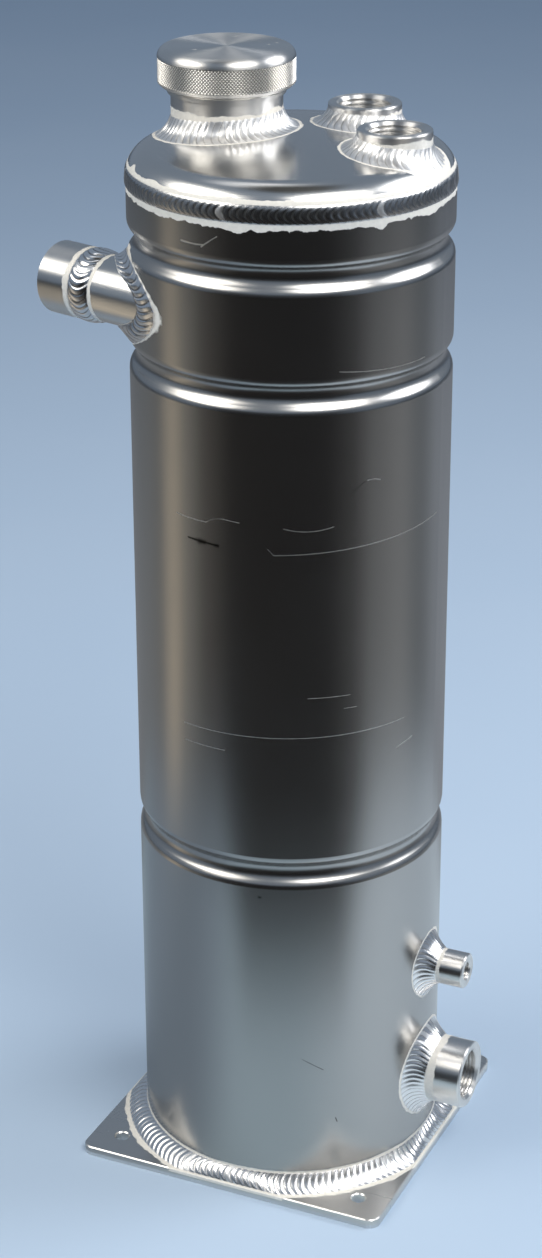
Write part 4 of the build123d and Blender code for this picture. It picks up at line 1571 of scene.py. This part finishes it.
class OILTANK_OT_cap(bpy.types.Operator):
    """Turn the filler cap, thread its spigot and knurl its rim"""

    bl_idname = "oil_tank.cap"
    bl_label = "Filler Cap"

    def execute(self, context):
        settings = context.scene.oil_tank.turned
        material = tank_finishes(context).turned
        pitch = settings.cap_pitch
        band_low, band_high = cap_bottom + CAP_CHAMFER, cap_high.z - CAP_TOP_ROUND
        outline = cap_outline(band_low, band_high, settings.knurl_depth, pitch)
        piece = lathe("filler_cap_turned", neck_centre, UP, outline, TURNED_STEPS, lambda point: 1.0, False)
        run_tree(piece, thread_tree(), {"Pitch": pitch, "Depth": -CAP_THREAD_DEPTH, "Material": material})
        values = {
            "Axis": neck_centre + UP * band_low,
            "Radius": cap_r,
            "Depth": settings.knurl_depth,
            "Band": band_high - band_low,
            "Count": settings.knurl_count,
            "Rows": settings.knurl_rows,
            "Material": material,
        }
        run_tree(piece, knurl_tree(), values)
        finish_piece(piece, "cap", ["filler_cap"], TURNED_CREASE)
        return {"FINISHED"}


class OILTANK_OT_stage(bpy.types.Operator):
    """Lay the floor and set the lights and the camera"""

    bl_idname = "oil_tank.stage"
    bl_label = "Stage"

    def execute(self, context):
        scene = context.scene
        settings = scene.oil_tank.stage
        turn = Matrix.Rotation(settings.azimuth, 3, "Z")
        front = turn @ Vector((0, -1, 0))
        right = turn @ ALONG_X
        aim = UP * settings.aim_height
        floor = plain_floor(settings)
        flag = floor_card(front, right)
        wall = dark_wall(front, right)
        ceiling = dark_ceiling()
        for name, ((ahead, aside, up), size, power, colour) in LAMPS.items():
            place = front * ahead + right * aside + UP * up
            add_lamp(name, place, aim, size, getattr(settings, power), colour)
        soft_surround(scene, settings)
        photo_camera(scene, settings, turn, aim)
        return {"FINISHED"}


class OilTankSettings(bpy.types.PropertyGroup):
    """All the tank's settings."""

    weld: bpy.props.PointerProperty(type=WeldSettings, name="Welds", description="Weld beads")
    turned: bpy.props.PointerProperty(type=TurnedSettings, name="Turned", description="Turned pieces")
    sheet: bpy.props.PointerProperty(type=SheetSettings, name="Sheet", description="Sheet and plate")
    stage: bpy.props.PointerProperty(type=StageSettings, name="Stage", description="Floor, light and camera")


class OILTANK_PT_panel(bpy.types.Panel):
    """The tank's pieces and settings"""

    bl_idname = "OILTANK_PT_panel"
    bl_label = "Oil Tank"
    bl_space_type = "VIEW_3D"
    bl_region_type = "UI"
    bl_category = "Oil Tank"

    def draw(self, context):
        for operator in OPERATORS:
            self.layout.operator(operator.bl_idname)
        for group in ("weld", "turned", "sheet", "stage"):
            settings = getattr(context.scene.oil_tank, group)
            for name in settings.__annotations__:
                self.layout.prop(settings, name)


OPERATORS = (
    OILTANK_OT_stage,
    OILTANK_OT_sheet,
    OILTANK_OT_welds,
    OILTANK_OT_bosses,
    OILTANK_OT_neck,
    OILTANK_OT_cap,
)
SETTINGS = (WeldSettings, TurnedSettings, SheetSettings, StageSettings, OilTankSettings)
made_finishes = []


def tank_finishes(context):
    """The tank's materials, made at the first call."""
    if not made_finishes:
        made_finishes.append(Finishes(context.scene.oil_tank))
    return made_finishes[0]


def register():
    for part in (*SETTINGS, *OPERATORS, OILTANK_PT_panel):
        bpy.utils.register_class(part)
    bpy.types.Scene.oil_tank = bpy.props.PointerProperty(type=OilTankSettings)


def unregister():
    del bpy.types.Scene.oil_tank
    for part in (OILTANK_PT_panel, *OPERATORS[::-1], *SETTINGS[::-1]):
        bpy.utils.unregister_class(part)


def main():
    register()
    for operator in OPERATORS:
        group, name = operator.bl_idname.split(".")
        getattr(getattr(bpy.ops, group), name)()


if __name__ == "__main__":
    main()
